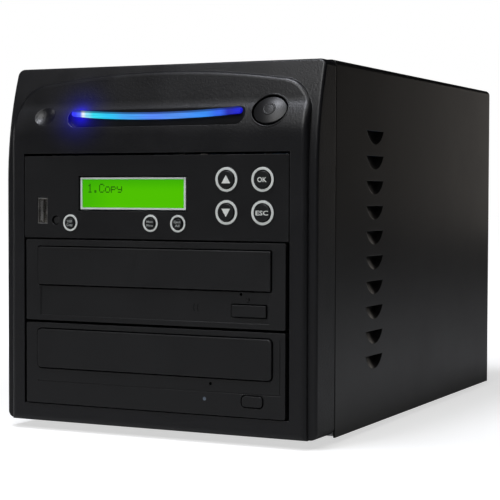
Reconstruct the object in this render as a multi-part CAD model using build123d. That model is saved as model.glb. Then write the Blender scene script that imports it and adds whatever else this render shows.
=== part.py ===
from build123d import *
import math
import os

# CD/DVD duplicator tower, millimetres.
# +Z is up, the front faces -Y, and the origin lies under the middle of the box.

os.makedirs("parts", exist_ok=True)

# ---------------------------------------------------------------- driving sizes

# case
case_side = 12.8               # between the bays and the case's side
brow_height = 44.8             # between the bays and the case's top
case_depth = 279.0             # from the bay face to the cover's rear edge
sheet = 1.0                    # steel sheet of the cover and chassis
plate_sheet = 1.2              # thicker sheet of the front plate and rear panel
cover_bend = 3.0               # outer radius of the cover's two folds
cover_setback = 26.2           # the cover's front edge, behind the bay face
floor_lift = 0.8               # chassis floor above the cover's lower edge
upstand_height = 11.0
foot_height = 3.0              # the cover's lower edge above the table
foot_radius = 8.0
foot_inset_x = 21.0
foot_inset_front = 52.0
foot_inset_rear = 26.0
fit_gap = 0.2                  # between sheet parts that slide together

# louvres pressed into the cover's sides
louvre_count = 10
louvre_pitch = 12.82
louvre_drop_top = 32.6         # flat edge of the highest one below the cover's top
louvre_front = 66.4            # front end of each, behind the bay face
louvre_length = 24.2
louvre_drop = 7.0
louvre_depth = 3.0

# front bezel
bezel_lift = 1.5               # bezel's lower edge above the cover's
bezel_top_gap = 0.4
bezel_wall = 2.5
frame_setback = 3.2            # outer frame behind the raised field
frame_corner = 3.6             # the outer frame's corners, seen from the front
frame_edge = 1.6               # rounding along its front outline
seam_width = 1.0               # shadow gap between the bezel and the cover
seam_depth = 1.2
lean_drop = 20.7               # the outer frame leans back from this far below the brow
lean_radius = 160.0
field_inset = 4.4              # raised field inside the case's side
arch_drop = 4.0                # top of the arch below the cover's top
arch_radius = 461.0
arch_corner = 17.0
field_edge = 2.8               # rounding along the raised field's outline
brow_lift = 7.0                # the raised field curves back this far above the bays
brow_radius = 26.0
brow_angle = 38.0
cove_radius = 8.0
crown_angle = 13.0
collar_wall = 1.6
clip_width = 8.0
clip_thickness = 2.0
clip_reach = 6.0

# light pocket, light bar and dish
pocket_length = 99.5
pocket_height = 10.2
pocket_rise = 11.2             # its middle above the start of the brow
pocket_depth = 4.6             # behind the bay face
bar_half_length = 46.0
bar_thickness = 3.3
bar_lift = 11.3                # its middle above the start of the brow
bar_rise = 1.9                 # the ends of the bar above its middle
bar_front = 2.6
bar_back = 10.0
bar_gap = 0.15
dish_inset = 19.4              # inside the raised field's side
dish_lift = 12.1
dish_radius = 6.0
dish_depth = 1.8
board_thickness = 1.6

# power button
power_inset = 20.6             # inside the raised field's side
power_lift = 13.0
power_half_width = 8.5
power_half_height = 7.3
power_gap = 0.9
power_lip = 0.6
power_lip_rise = 0.2
power_well = 12.0
power_travel = 2.5
power_skirt = 6.0
power_crown = 0.9              # top of the domed cap, from the brow's tangent plane
power_dome = 24.0
power_stem_radius = 2.4
power_stem_end = 15.0
switch_size = 10.0
switch_length = 8.0

# bays
bay_gap = 1.8                  # beside a drive
bay_pitch = 42.6
panel_bay_height = 42.8
bay_lift = 10.7                # lowest bay above the cover's lower edge

# control panel
panel_gap = 0.5                # beside the panel
panel_drop = 1.3               # faceplate below the top of its bay
panel_height = 41.5
panel_thickness = 2.6
panel_rim = 2.0
panel_depth = 12.0
lcd_inset = 63.15              # middle, from the panel's left edge
lcd_lift = 22.6                # middle, above the panel's lower edge
lcd_width = 60.1
lcd_height = 16.0
lcd_border = 0.8               # slot between the pale frame and the faceplate
lcd_frame_x = 1.0              # pale frame's width beside the window
lcd_frame_z = 0.9
lcd_recess = 0.6
window_thickness = 1.0
window_recess = 0.3
front_board_y = 8.6
key_ring_width = 1.9
key_gap = 0.25
key_rise = 0.9
ring_rise = 0.3
ring_seat = 1.5
key_travel = 0.8
key_flange = 0.8
key_large = 6.25               # outer radius of a large pale ring
key_small = 4.6
# distance from the panel's right edge, and height above its lower edge
large_keys = {
    "up_button": (32.8, 29.5),
    "ok_button": (13.6, 29.5),
    "down_button": (32.8, 13.6),
    "esc_button": (13.6, 13.6),
}
# distance from the panel's left edge, and height above its lower edge
small_keys = {
    "usb_copy_button": (27.5, 7.7),
    "menu_button": (73.9, 7.9),
    "eject_all_button": (89.3, 7.9),
}
tact_size = 6.0
tact_height = 3.2
tact_bore = 1.5
led_inset = 18.7
led_lift = 8.9
status_radius = 2.2
usb_inset = 10.8
usb_lift = 13.8
usb_width = 5.7
usb_height = 13.1
usb_shell = 0.5
usb_mouth_depth = 7.4
bracket_depth = 98.0
controller_width = 120.0
controller_depth = 78.0

# disc drives
drive_gap = 1.4                # between a drive and the next bay
drive_back = 22.5              # behind the loader's well
drive_lift = 0.5               # fascia above the bottom of its bay
drive_proud = 0.6
drive_fascia_depth = 8.6
drive_fascia_plate = 2.4
drive_rim = 1.8
casing_wall = 0.8
door_proud = 0.9
door_gap = 0.6
door_back = 3.0
tray_top = 27.5                # heights above the drive's lower face
tray_thickness = 5.0
tray_border = 2.7              # beside the disc's recess
tray_side = 10.0               # between the tray and the drive's side
tray_tongue = 1.6
tray_tongue_height = 2.5
tray_length = 152.0
tray_travel = 132.0
tray_play = 0.3
disc_y = 68.5                  # disc centre behind the bay face
motor_radius = 9.0
platform_thickness = 1.6
disc_recess = 60.3
disc_recess_depth = 2.4
small_disc_recess = 40.5
small_disc_depth = 3.4
tray_hole = 18.0
tray_slot_half_width = 20.0
gear_module = 1.0
gear_teeth = 16
pressure_angle = 20.0
gear_y = 17.0
gear_height = 2.4
gear_pin = 1.5
backlash = 0.25
rack_inset = 11.0              # pitch line inside the tray's side
rack_bar = 3.5                 # from the pitch line to the rack's back
rack_drop = 3.0
loader_floor = 3.0
rail_gap = 0.5                 # between the tray and the rails
well_inset = 18.0              # the loader's well inside the tray's side
guide_radius = 1.5
guide_x = 26.0
guide_height = 10.0
running_gap = 0.06
pickup_travel = 34.0
pickup_length = 22.0
pickup_start = 26.0            # pickup's middle behind the disc centre
pickup_room = 8.0              # between the pickup's end of travel and the loader's well
turntable_radius = 14.0
turntable_height = 18.6
cone_radius = 7.2
button_rise = 0.4
button_gap = 0.6
button_travel = 0.9
button_flange = 1.2            # behind the fascia, holding the button in
button_shoulder = 0.5          # the flange beyond the button's opening

# each drive's face: door (margin beside it, margin above it, height, corner radius), button
# (inset, lift, width, height, corner radius), pinhole (inset, lift) and light (inset, lift);
# insets are from the drive's right side and lifts from its lower face
drive_faces = {
    1: {"door": (7.5, 3.8, 19.1, 0.6), "button": (19.2, 8.5, 19.4, 6.8, 0.9),
        "pinhole": (23.5, 16.5), "light": (20.0, 13.8)},
    2: {"door": (6.9, 3.2, 19.7, 2.2), "button": (17.3, 7.7, 12.1, 6.4, 2.4),
        "pinhole": (39.7, 15.2), "light": (43.1, 7.7)},
}
drive_inset = 0.4              # depth of drive 1's inset lower field
inset_margin = 2.6
crease_height = 11.6           # drive 2's groove
crease_width = 0.5
crease_depth = 0.3
crease_inset = 2.4              # the groove's upright end, from the drive's side
pinhole_radius = 0.8
light_radius = 0.9

# power supply, fans and rear fittings
psu_side = 12.6                # between the power supply and the case's side
psu_depth = 140.0
psu_gap_top = 0.6
psu_gap_low = 0.9              # above the upper drive
psu_rim = 2.5
psu_tab = 13.0
psu_vents = 9
psu_vent_pitch = 14.0
fan_margin = 3.0               # above and below the fan in the power supply
fan_rim = 2.0
fan_depth = 25.0
fan_hub = 17.0
fan_arm = 3.0                  # thickness of the fan's spider and motor plate
fan_corner = 4.0
bearing = 4.0
guard_eyelet = 3.4
fan_blades = 7
blade_pitch = 38.0
blade_chord = 19.0
blade_thickness = 1.6
fan_tip_gap = 0.9
fan_screw_inset = 4.25
psu_fan_inset = 53.0           # its axis from the power supply's side
case_fan_gap = 5.2             # between the case fan and the floor
guard_wire = 1.4
guard_rings = 4
inlet_inset = 23.0             # its middle from the power supply's side
inlet_rise = 27.0              # above the power supply's lower face
inlet_width = 24.6
inlet_height = 16.6
inlet_depth = 16.0
inlet_wall = 1.4
inlet_flange = 3.2
inlet_flange_thickness = 1.8
inlet_corner = 4.5
pin_length = 14.0
pin_width = 2.0
pin_height = 4.0
rocker_rise = 62.0
rocker_width = 10.4
rocker_length = 15.2
rocker_tilt = 9.0
rocker_gap = 0.6
rocker_wall = 1.3
rocker_pin = 1.2
thumb_radius = 4.5
thumb_length = 5.0
thumb_knurls = 12
screw_head = 2.8
screw_head_height = 1.8
screw_shank = 1.4
screw_hole = 1.7
thread_gap = 0.1
fan_screw_length = 8.0
psu_screw_length = 5.0
psu_screw_inset = 6.0
drive_screw_depths = (60.0, 139.0)     # behind the bay face
drive_screw_lift = 10.0
panel_screw_lift = 20.0
cage_gap = 0.3
cage_flange = 8.0
cage_upper_depth = 82.0

# ---------------------------------------------------------------- sizes that follow

pickup_end = disc_y + pickup_start + pickup_travel + pickup_length / 2
well_end = pickup_end + pickup_room
drive_depth = well_end + drive_back
tray_half_width = disc_recess + tray_border
drive_width = 2 * (tray_half_width + tray_side)
drive_height = bay_pitch - drive_gap
bay_width = drive_width + 2 * bay_gap
panel_width = bay_width - 2 * panel_gap
case_width = bay_width + 2 * case_side
case_height = bay_lift + 2 * bay_pitch + panel_bay_height + brow_height
brow_start = case_height - brow_height + brow_lift
lean_start = brow_start - lean_drop
arch_height = case_height - arch_drop
field_half_width = case_width / 2 - field_inset
pocket_middle = brow_start + pocket_rise
bar_middle = brow_start + bar_lift
dish_middle = brow_start + dish_lift
power_middle = brow_start + power_lift
dish_x = dish_inset - field_half_width
power_x = field_half_width - power_inset
louvre_top = case_height - louvre_drop_top
lcd_x = lcd_inset - panel_width / 2
led_x = led_inset - panel_width / 2
usb_x = usb_inset - panel_width / 2
rack_x = tray_half_width - rack_inset
rack_back = rack_x + rack_bar
rail_inner = tray_half_width + rail_gap
well_half = tray_half_width - well_inset
psu_width = case_width - 2 * psu_side

# ---------------------------------------------------------------- places

bay_y = -(case_depth + thumb_length + drive_proud + door_proud) / 2 + drive_proud + door_proud
cover_front = bay_y + cover_setback
cover_rear = bay_y + case_depth
panel_rear = cover_rear - sheet
panel_front = panel_rear - plate_sheet
base_z = foot_height
cover_top = base_z + case_height
half_width = case_width / 2
inner_half = half_width - sheet
floor_bottom = base_z + floor_lift
floor_top = floor_bottom + sheet
bays_bottom = base_z + bay_lift
bays_top = bays_bottom + 2 * bay_pitch + panel_bay_height
bezel_bottom = base_z + bezel_lift
bezel_top = cover_top - bezel_top_gap
panel_top = bays_top - panel_drop
panel_bottom = panel_top - panel_height
inner_top = cover_top - sheet
plate_half = inner_half - fit_gap
drive_bottoms = {2: bays_bottom + drive_lift, 1: bays_bottom + bay_pitch + drive_lift}
psu_top = inner_top - psu_gap_top
psu_bottom = drive_bottoms[1] + drive_height + psu_gap_low
psu_rear = panel_front
fan_size = psu_top - psu_bottom - 2 * fan_margin
fan_bore = fan_size / 2 - fan_rim
fan_screw_offset = fan_size / 2 - fan_screw_inset
psu_fan_x = psu_fan_inset - psu_width / 2
psu_fan_z = (psu_bottom + psu_top) / 2
case_fan_z = floor_top + case_fan_gap + fan_size / 2
inlet_x = psu_width / 2 - inlet_inset
led_z = panel_bottom + led_lift
usb_z = panel_bottom + usb_lift
lcd_z = panel_bottom + lcd_lift


# ---------------------------------------------------------------- helpers

def block(x, y, z):
    """Box between two values on each axis."""
    size = (x[1] - x[0], y[1] - y[0], z[1] - z[0])
    return Pos(sum(x) / 2, sum(y) / 2, sum(z) / 2) * Box(*size)


def rod_x(y, z, span, radius):
    return Pos(sum(span) / 2, y, z) * Rot(0, 90, 0) * Cylinder(radius, span[1] - span[0])


def rod_y(x, z, span, radius):
    return Pos(x, sum(span) / 2, z) * Rot(90, 0, 0) * Cylinder(radius, span[1] - span[0])


def rod_z(x, y, span, radius):
    return Pos(x, y, sum(span) / 2) * Cylinder(radius, span[1] - span[0])


def prism_x(sketch, span):
    """Sketch in (y, z), carried along X."""
    plane = Plane(origin=(span[0], 0, 0), x_dir=(0, 1, 0), z_dir=(1, 0, 0))
    return extrude(plane * sketch, span[1] - span[0])


def prism_y(sketch, span):
    """Sketch in (x, z), carried along Y."""
    plane = Plane(origin=(0, span[1], 0), x_dir=(1, 0, 0), z_dir=(0, -1, 0))
    return extrude(plane * sketch, span[1] - span[0])


def prism_z(sketch, span):
    """Sketch in (x, y), carried along Z."""
    return extrude(Pos(0, 0, span[0]) * sketch, span[1] - span[0])


def window(x, z):
    """Rectangle between two values of x and two of z."""
    return Pos(sum(x) / 2, sum(z) / 2) * Rectangle(x[1] - x[0], z[1] - z[0])


def rounded_window(x, z, radius):
    return Pos(sum(x) / 2, sum(z) / 2) * RectangleRounded(x[1] - x[0], z[1] - z[0], radius)


def save(name, *solids):
    """Write one node, made of one solid or of a group of separate ones."""
    shape = solids[0] if len(solids) == 1 else Compound(list(solids))
    shape.label = name
    export_step(shape, f"parts/{name}.step")


def machine_screw(x, y, z, turn, length):
    """Pan-head screw: the head's underside is at the point, and turn aims the head."""
    head = Pos(0, 0, screw_head_height / 2) * Cylinder(screw_head, screw_head_height)
    shank = Pos(0, 0, -length / 2) * Cylinder(screw_shank, length)
    return Pos(x, y, z) * turn * (head + shank)


aim_back = Rot(-90, 0, 0)      # turns +Z to +Y
aim_right = Rot(0, 90, 0)      # turns +Z to +X
aim_left = Rot(0, -90, 0)      # turns +Z to -X


# ---------------------------------------------------------------- front bezel

def frame_profile(shift, top):
    """Side view of the outer frame: upright below, leaning back on a large arc above."""
    front = bay_y + frame_setback + shift
    start = base_z + lean_start
    turn = math.degrees(math.asin((top - start) / lean_radius))
    lower = Polyline((cover_front, bezel_bottom), (front, bezel_bottom), (front, start))
    lean = JernArc((front, start), (0, 1), lean_radius, -turn)
    upper = Polyline(lean @ 1, (cover_front, top), (cover_front, bezel_bottom))
    return make_face(lower + lean + upper)


def field_profile(shift):
    """Side view of the raised field: upright, brow, cove, crown."""
    front = bay_y + shift
    start = base_z + brow_start
    top = base_z + arch_height + 1
    brow = JernArc((front, start), (0, 1), brow_radius, -brow_angle)
    cove = JernArc(brow @ 1, brow % 1, cove_radius, brow_angle - crown_angle)
    cove_end = cove @ 1
    crown = (cove_end.X + (top - cove_end.Y) * math.tan(math.radians(crown_angle)), top)
    back = cover_front
    lower = Polyline((back, bezel_bottom), (front, bezel_bottom), (front, start))
    upper = Polyline(cove_end, crown, (back, top), (back, bezel_bottom))
    return make_face(lower + brow + cove + upper)


def arch_outline(inset):
    """Front view of the raised field, drawn in by inset."""
    half = field_half_width - inset
    top = base_z + arch_height
    block_face = window((-half, half), (bezel_bottom, top - inset))
    arc_face = Pos(0, top - arch_radius) * Circle(arch_radius - inset)
    face = block_face & arc_face
    return fillet(face.vertices().sort_by(Axis.Y)[-2:], arch_corner - inset)


def brow_surface(height):
    """Point and tilt of the brow at a height above the cover's lower edge."""
    tilt = math.asin((height - brow_start) / brow_radius)
    return bay_y + brow_radius * (1 - math.cos(tilt)), tilt


def brow_plane(x, height):
    """Plane lying on the brow, its normal pointing out."""
    y, tilt = brow_surface(height)
    normal = (0, -math.cos(tilt), math.sin(tilt))
    return Plane(origin=(x, y, base_z + height), x_dir=(1, 0, 0), z_dir=normal)


def oval(plane, grow, span):
    """Oval bar square to the brow, between two distances out of it."""
    face = Ellipse(power_half_width + grow, power_half_height + grow)
    return extrude(plane * Pos(0, 0, span[0]) * face, span[1] - span[0])


def bar_slot(gap):
    """Smiling outline of the light bar, grown by gap."""
    middle = base_z + bar_middle
    ends = middle + bar_rise
    arc = ThreePointArc((-bar_half_length, ends), (0, middle), (bar_half_length, ends))
    return SlotArc(arc, bar_thickness + 2 * gap)


def front_edges(solid, face):
    """Edges of a solid that follow the face's outline, in front view, away from its rear."""
    outline = face.wire()

    def on_outline(edge):
        middle = edge @ 0.5
        flat = Vertex(middle.X, middle.Z, 0)
        across = abs((edge % 0.5).Y) < 0.95
        return across and middle.Y < cover_front - seam_width - 1 and outline.distance_to(flat) < 0.01

    return [edge for edge in solid.edges() if on_outline(edge)]


def raised_field():
    """Solid field in front of the frame, its outline rounded."""
    solid = prism_y(arch_outline(0), (bay_y - 1, cover_front))
    solid &= prism_x(field_profile(0), (-half_width, half_width))
    return fillet(front_edges(solid, arch_outline(0)), field_edge)


def frame_outline(inset):
    """Front view of the outer frame, drawn in by inset."""
    half = half_width - inset
    return rounded_window((-half, half), (bezel_bottom + inset, bezel_top - inset), frame_corner)


def outer_frame():
    """Solid frame around the field, its front rounded and its rear edge stepped in."""
    solid = prism_y(frame_outline(0), (bay_y, cover_front))
    solid &= prism_x(frame_profile(0, bezel_top), (-half_width, half_width))
    solid = fillet(front_edges(solid, frame_outline(0)), frame_edge)
    seam = prism_y(frame_outline(0), (cover_front - seam_width, cover_front))
    seam -= prism_y(frame_outline(seam_depth), (cover_front - seam_width, cover_front))
    return solid - seam


clip_x = half_width - bezel_wall - clip_thickness / 2 + 0.5
clip_heights = [base_z + case_height * share for share in (0.12, 0.5, 0.83)]


def clip_marks(grow):
    """Snap tongues on the bezel, and with grow their slots in the front plate."""
    solids = []
    for side in (-1, 1):
        for z in clip_heights:
            x = side * clip_x
            solids.append(block(
                (x - clip_thickness / 2 - grow, x + clip_thickness / 2 + grow),
                (cover_front - 4, cover_front + clip_reach),
                (z - clip_width / 2 - grow, z + clip_width / 2 + grow)))
    return solids


def front_bezel():
    field = raised_field()
    shell = outer_frame() + field
    hollow_half = half_width - bezel_wall
    hollow = prism_x(frame_profile(bezel_wall, bezel_top - bezel_wall), (-hollow_half, hollow_half))
    hollow &= block((-hollow_half, hollow_half), (bay_y, cover_front),
                    (bezel_bottom + bezel_wall, bezel_top))
    field_hollow = prism_y(arch_outline(bezel_wall), (bay_y, cover_front))
    field_hollow &= prism_x(field_profile(bezel_wall), (-half_width, half_width))
    field_hollow &= block((-half_width, half_width), (bay_y, cover_front),
                          (bezel_bottom + bezel_wall, bezel_top))
    shell -= hollow + field_hollow

    bay_half = bay_width / 2
    collar = prism_y(window((-bay_half - collar_wall, bay_half + collar_wall),
                            (bays_bottom - collar_wall, bays_top + collar_wall)),
                     (bay_y + 1, cover_front))
    shell += collar
    pocket_z = base_z + pocket_middle
    pocket_face = Pos(0, pocket_z) * SlotOverall(pocket_length, pocket_height)
    backing_face = Pos(0, pocket_z) * SlotOverall(pocket_length + 2 * collar_wall,
                                                  pocket_height + 2 * collar_wall)
    backing = prism_y(backing_face, (bay_y, bay_y + pocket_depth + bezel_wall))
    shell += backing & field
    power = brow_plane(power_x, power_middle)
    lip = prism_x(field_profile(-power_lip_rise), (-half_width, half_width))
    shell += oval(power, power_gap + power_lip, (-power_well, 4)) & lip

    for height in (pocket_middle - 3.5, pocket_middle + 3.5):
        post_y = (brow_surface(height)[0] + 1, bay_y + bar_back)
        shell += rod_y(light_board_x[0] + 2.5, base_z + height, post_y, 1.5)

    shell -= prism_y(window((-bay_half, bay_half), (bays_bottom, bays_top)),
                     (bay_y - 1, cover_front + 1))
    shell -= prism_y(pocket_face, (bay_y - 1, bay_y + pocket_depth))
    shell -= prism_y(bar_slot(bar_gap), (bay_y - 1, cover_front))
    shell -= oval(power, power_gap, (-power_well - 1, 4))
    ball = (dish_radius ** 2 + dish_depth ** 2) / (2 * dish_depth)
    dish = brow_plane(dish_x, dish_middle) * Pos(0, 0, ball - dish_depth) * Sphere(ball)
    shell -= dish
    for clip in clip_marks(0):
        shell += clip
    return shell


# the light board stands on posts behind the light bar's left end
light_board_x = (-bar_half_length - 11, -bar_half_length + 14)


def light_board():
    y = (bay_y + bar_back, bay_y + bar_back + board_thickness)
    z = base_z + pocket_middle
    board = block(light_board_x, y, (z - 6, z + 6))
    left = light_board_x[0]
    resistor = block((left + 13, left + 16), (y[1], y[1] + 0.8), (z - 1, z + 1))
    header = block((left + 3, left + 8), (y[1], y[1] + 5), (z - 4, z + 4))
    return board + resistor + header


def light_bar():
    return prism_y(bar_slot(0), (bay_y + bar_front, bay_y + bar_back))


def power_button():
    plane = brow_plane(power_x, power_middle)
    cap = oval(plane, 0, (-power_skirt, 2))
    cap &= plane * Pos(0, 0, power_crown - power_dome) * Sphere(power_dome)
    ring = Cylinder(3.2, 0.8) - Cylinder(2.5, 0.8)
    cap += plane * Pos(0, 0, power_crown - 0.4) * ring
    stem_length = power_stem_end - power_skirt
    cap += plane * Pos(0, 0, -power_skirt - stem_length / 2) * Cylinder(power_stem_radius, stem_length)
    return cap


def power_switch():
    plane = brow_plane(power_x, power_middle)
    body = plane * Pos(0, 0, -power_well - switch_length / 2) * Box(
        2 * (power_half_width + power_gap + power_lip), switch_size, switch_length)
    depth = power_stem_end + power_travel - power_well + 0.6
    bore = plane * Pos(0, 0, -power_well - depth / 2) * Cylinder(power_stem_radius + 0.1, depth)
    return body - bore


save("front_bezel", front_bezel())
save("light_bar", light_bar())
save("light_board", light_board())
save("power_button", power_button())
save("power_switch", power_switch())


# ---------------------------------------------------------------- cover and chassis

def louvre_tools(side, z_top):
    """Ball that presses one louvre, the scoop it leaves, and their place on one side."""
    cap_radius = ((louvre_length / 2) ** 2 + louvre_drop ** 2) / (2 * louvre_drop)
    offset = cap_radius - louvre_drop
    out = (cap_radius ** 2 - offset ** 2 - louvre_depth ** 2) / (2 * louvre_depth)
    ball_radius = math.hypot(out, cap_radius)
    centre = Pos(side * (half_width + out), bay_y + louvre_front + louvre_length / 2, z_top + offset)
    inner = side * (half_width - louvre_depth - sheet - 1)
    outer = side * (half_width + 1)
    reach = block(sorted((inner, outer)),
                  (bay_y + louvre_front - 2, bay_y + louvre_front + louvre_length + 2),
                  (z_top - louvre_drop - 2, z_top))
    skin = block(sorted((inner, side * half_width)),
                 (bay_y + louvre_front - 2, bay_y + louvre_front + louvre_length + 2),
                 (z_top - louvre_drop - 2, z_top))
    press = centre * Sphere(ball_radius) & reach
    scoop = centre * Sphere(ball_radius + sheet) & skin
    return press, scoop


def cover():
    outer = window((-half_width, half_width), (base_z, cover_top))
    outer = fillet(outer.vertices().sort_by(Axis.Y)[-2:], cover_bend)
    inner = window((-inner_half, inner_half), (base_z - 5, cover_top - sheet))
    inner = fillet(inner.vertices().sort_by(Axis.Y)[-2:], cover_bend - sheet)
    wrap = prism_y(outer - inner, (cover_front, cover_rear))
    scoops = []
    presses = []
    for side in (-1, 1):
        for step in range(louvre_count):
            press, scoop = louvre_tools(side, base_z + louvre_top - step * louvre_pitch)
            presses.append(press)
            scoops.append(scoop)
    wrap = wrap + scoops - presses
    for side in (-1, 1):
        x = sorted((side * (inner_half - flange_width), side * inner_half))
        wrap += block(x, (panel_rear, cover_rear), (base_z + 5, cover_top - cover_bend - 1))
    for x, z in thumb_places:
        wrap -= rod_y(x, z, (panel_rear - 1, cover_rear + 1), thumb_hole)
    return wrap


flange_width = 11.0
thumb_hole = 1.9
thumb_x = inner_half - flange_width / 2
thumb_places = [(side * thumb_x, base_z + case_height * share)
                for side in (-1, 1) for share in (0.12, 0.5, 0.88)]


def thumbscrew(x, z):
    head = prism_y(Pos(x, z) * RegularPolygon(thumb_radius, thumb_knurls),
                   (cover_rear, cover_rear + thumb_length))
    shank = rod_y(x, z, (panel_front - 2.5, cover_rear), screw_shank)
    slot = block((x - thumb_radius, x + thumb_radius),
                 (cover_rear + thumb_length - 1.2, cover_rear + thumb_length + 1), (z - 0.5, z + 0.5))
    return head + shank - slot


foot_places = [(side * (half_width - foot_inset_x), y) for side in (-1, 1)
               for y in (bay_y + foot_inset_front, cover_rear - foot_inset_rear)]


def chassis_base():
    floor = block((-plate_half, plate_half), (cover_front, panel_front), (floor_bottom, floor_top))
    for side in (-1, 1):
        x = sorted((side * (plate_half - sheet), side * plate_half))
        floor += block(x, (cover_front + plate_sheet, panel_front),
                       (floor_bottom, floor_bottom + upstand_height))
    for x, y in foot_places:
        floor -= rod_z(x, y, (floor_bottom - 1, floor_top + 1), 2.0)
    for x in (-60, -40, -20, 0, 20, 40, 60):
        floor -= prism_z(Pos(x, (cover_front + panel_front) / 2 + 70) * SlotOverall(44, 5, 90),
                         (floor_bottom - 1, floor_top + 1))
    return floor


def foot(x, y):
    """Moulded rubber foot with a waisted stud that snaps into the floor."""
    profile = Polyline((0, 0), (foot_radius - 1, 0), (foot_radius, 1.0),
                       (foot_radius - 0.8, floor_bottom), (1.9, floor_bottom), (1.9, floor_top),
                       (2.8, floor_top), (1.6, floor_top + 1.8), (0, floor_top + 1.8), (0, 0))
    face = Plane.XZ * make_face(profile)
    return Pos(x, y, 0) * revolve(face, Axis.Z)


def end_plate(y):
    """Plate that closes the cover's section, its top corners following the folds."""
    face = window((-plate_half, plate_half), (floor_top, inner_top - fit_gap))
    return prism_y(fillet(face.vertices().sort_by(Axis.Y)[-2:], cover_bend - sheet), y)


def chassis_front():
    plate = end_plate((cover_front, cover_front + plate_sheet))
    half = bay_width / 2 + 0.2
    span = (cover_front - 1, cover_front + plate_sheet + 1)
    plate -= prism_y(window((-half, half), (bays_bottom, bays_top)), span)
    plate -= prism_y(Pos(0, bays_top + 17) * SlotOverall(90, 14), span)
    for slot in clip_marks(0.25):
        plate -= slot
    return plate


def rear_panel():
    panel = end_plate((panel_front, panel_rear))
    span = (panel_front - 1, panel_rear + 1)
    half = psu_width / 2 - psu_rim
    opening = window((-half, half), (psu_bottom + psu_rim, psu_top - psu_rim))
    for side in (-1, 1):
        for edge in (psu_bottom + psu_rim, psu_top - psu_rim):
            opening -= Pos(side * half, edge) * Rectangle(psu_tab, psu_tab)
    panel -= prism_y(opening, span)
    panel -= rod_y(0, case_fan_z, span, fan_bore)
    for x, z in thumb_places:
        panel -= rod_y(x, z, span, screw_shank + thread_gap)
    for x, z in psu_screw_places + fan_screw_places(0, case_fan_z):
        panel -= rod_y(x, z, span, screw_hole)
    for side in (-1, 1):
        for step in range(5):
            vent = Pos(side * (psu_width / 2 - 13), base_z + 26 + step * 9) * SlotOverall(20, 3.6)
            panel -= prism_y(vent, span)
    return panel


def fan_screw_places(x, z):
    return [(x + i * fan_screw_offset, z + j * fan_screw_offset) for i in (-1, 1) for j in (-1, 1)]


psu_screw_places = [(side * (psu_width / 2 - psu_screw_inset), z) for side in (-1, 1)
                    for z in (psu_bottom + psu_screw_inset, psu_top - psu_screw_inset)]

cage_x = drive_width / 2 + cage_gap
cage_front = cover_front + plate_sheet
drive_screw_places = [(bay_y + depth, drive_bottoms[n] + drive_screw_lift)
                      for depth in drive_screw_depths for n in (1, 2)]
panel_screw_place = (bay_y + drive_screw_depths[0], panel_bottom + panel_screw_lift)


def drive_cage(side):
    """One side plate of the drive cage, with its flanges and screw slots."""
    x = sorted((side * cage_x, side * (cage_x + sheet)))
    flange = sorted((side * cage_x, side * (cage_x + cage_flange)))
    lower_top = psu_bottom - 0.6
    plate = block(x, (cage_front, bay_y + drive_depth - 4), (floor_top, lower_top))
    plate += block(x, (cage_front, cage_front + cage_upper_depth), (floor_top, bays_top))
    plate += block(flange, (cage_front, cage_front + sheet), (floor_top, bays_top))
    plate += block(flange, (cage_front, bay_y + drive_depth - 4), (floor_top, floor_top + sheet))
    for y, z in drive_screw_places + [panel_screw_place]:
        slot = Pos(y, z) * SlotOverall(10, 2 * screw_hole)
        plate -= prism_x(slot, (x[0] - 1, x[1] + 1))
    for z in (floor_top + 30, floor_top + 72):
        window_face = Pos(bay_y + 100, z) * RectangleRounded(44, 18, 4)
        plate -= prism_x(window_face, (x[0] - 1, x[1] + 1))
    return plate


save("cover", cover())
save("cover_screws", *[thumbscrew(x, z) for x, z in thumb_places])
save("chassis_base", chassis_base())
save("chassis_front", chassis_front())
save("rear_panel", rear_panel())
save("drive_cage", drive_cage(-1), drive_cage(1))
save("feet", *[foot(x, y) for x, y in foot_places])


# ---------------------------------------------------------------- control panel

def key_places():
    for name, (inset, lift) in large_keys.items():
        yield name, panel_width / 2 - inset, panel_bottom + lift, key_large
    for name, (inset, lift) in small_keys.items():
        yield name, inset - panel_width / 2, panel_bottom + lift, key_small


def key_hole(ring):
    return ring - key_ring_width


def panel_fascia():
    z = (panel_bottom, panel_top)
    half = panel_width / 2
    outer = rounded_window((-half, half), z, 0.6)
    plate = prism_y(outer, (bay_y, bay_y + panel_depth))
    plate -= prism_y(window((-half + panel_rim, half - panel_rim), (z[0] + panel_rim, z[1] - panel_rim)),
                     (bay_y + panel_thickness, bay_y + panel_depth + 1))
    through = (bay_y - 1, bay_y + panel_thickness + 1)
    w = lcd_width / 2 + lcd_border
    h = lcd_height / 2 + lcd_border
    plate -= prism_y(window((lcd_x - w, lcd_x + w), (lcd_z - h, lcd_z + h)), through)
    for name, x, z, ring in key_places():
        plate -= rod_y(x, z, through, key_hole(ring))
        plate -= rod_y(x, z, (bay_y - 1, bay_y + ring_seat), ring + 0.05)
    plate -= rod_y(led_x, led_z, through, status_radius + 0.15)
    w = usb_width / 2 + 0.2
    h = usb_height / 2 + 0.2
    plate -= prism_y(window((usb_x - w, usb_x + w), (usb_z - h, usb_z + h)), through)
    return plate


def lcd_module():
    """Display block in its pale frame, on the board that also carries the keys."""
    z = lcd_z
    half = lcd_width / 2
    board_y = bay_y + front_board_y
    body = block((lcd_x - half, lcd_x + half), (bay_y + lcd_recess, board_y),
                 (z - lcd_height / 2, z + lcd_height / 2))
    seat_y = bay_y + lcd_recess + window_recess + window_thickness
    body -= block((lcd_x - half + lcd_frame_x, lcd_x + half - lcd_frame_x), (bay_y, seat_y),
                  (z - lcd_height / 2 + lcd_frame_z, z + lcd_height / 2 - lcd_frame_z))
    inner = panel_width / 2 - panel_rim - 0.8
    board = block((-inner, inner), (board_y, board_y + board_thickness),
                  (panel_bottom + panel_rim + 0.8, panel_top - panel_rim - 0.8))
    return body + board


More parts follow.
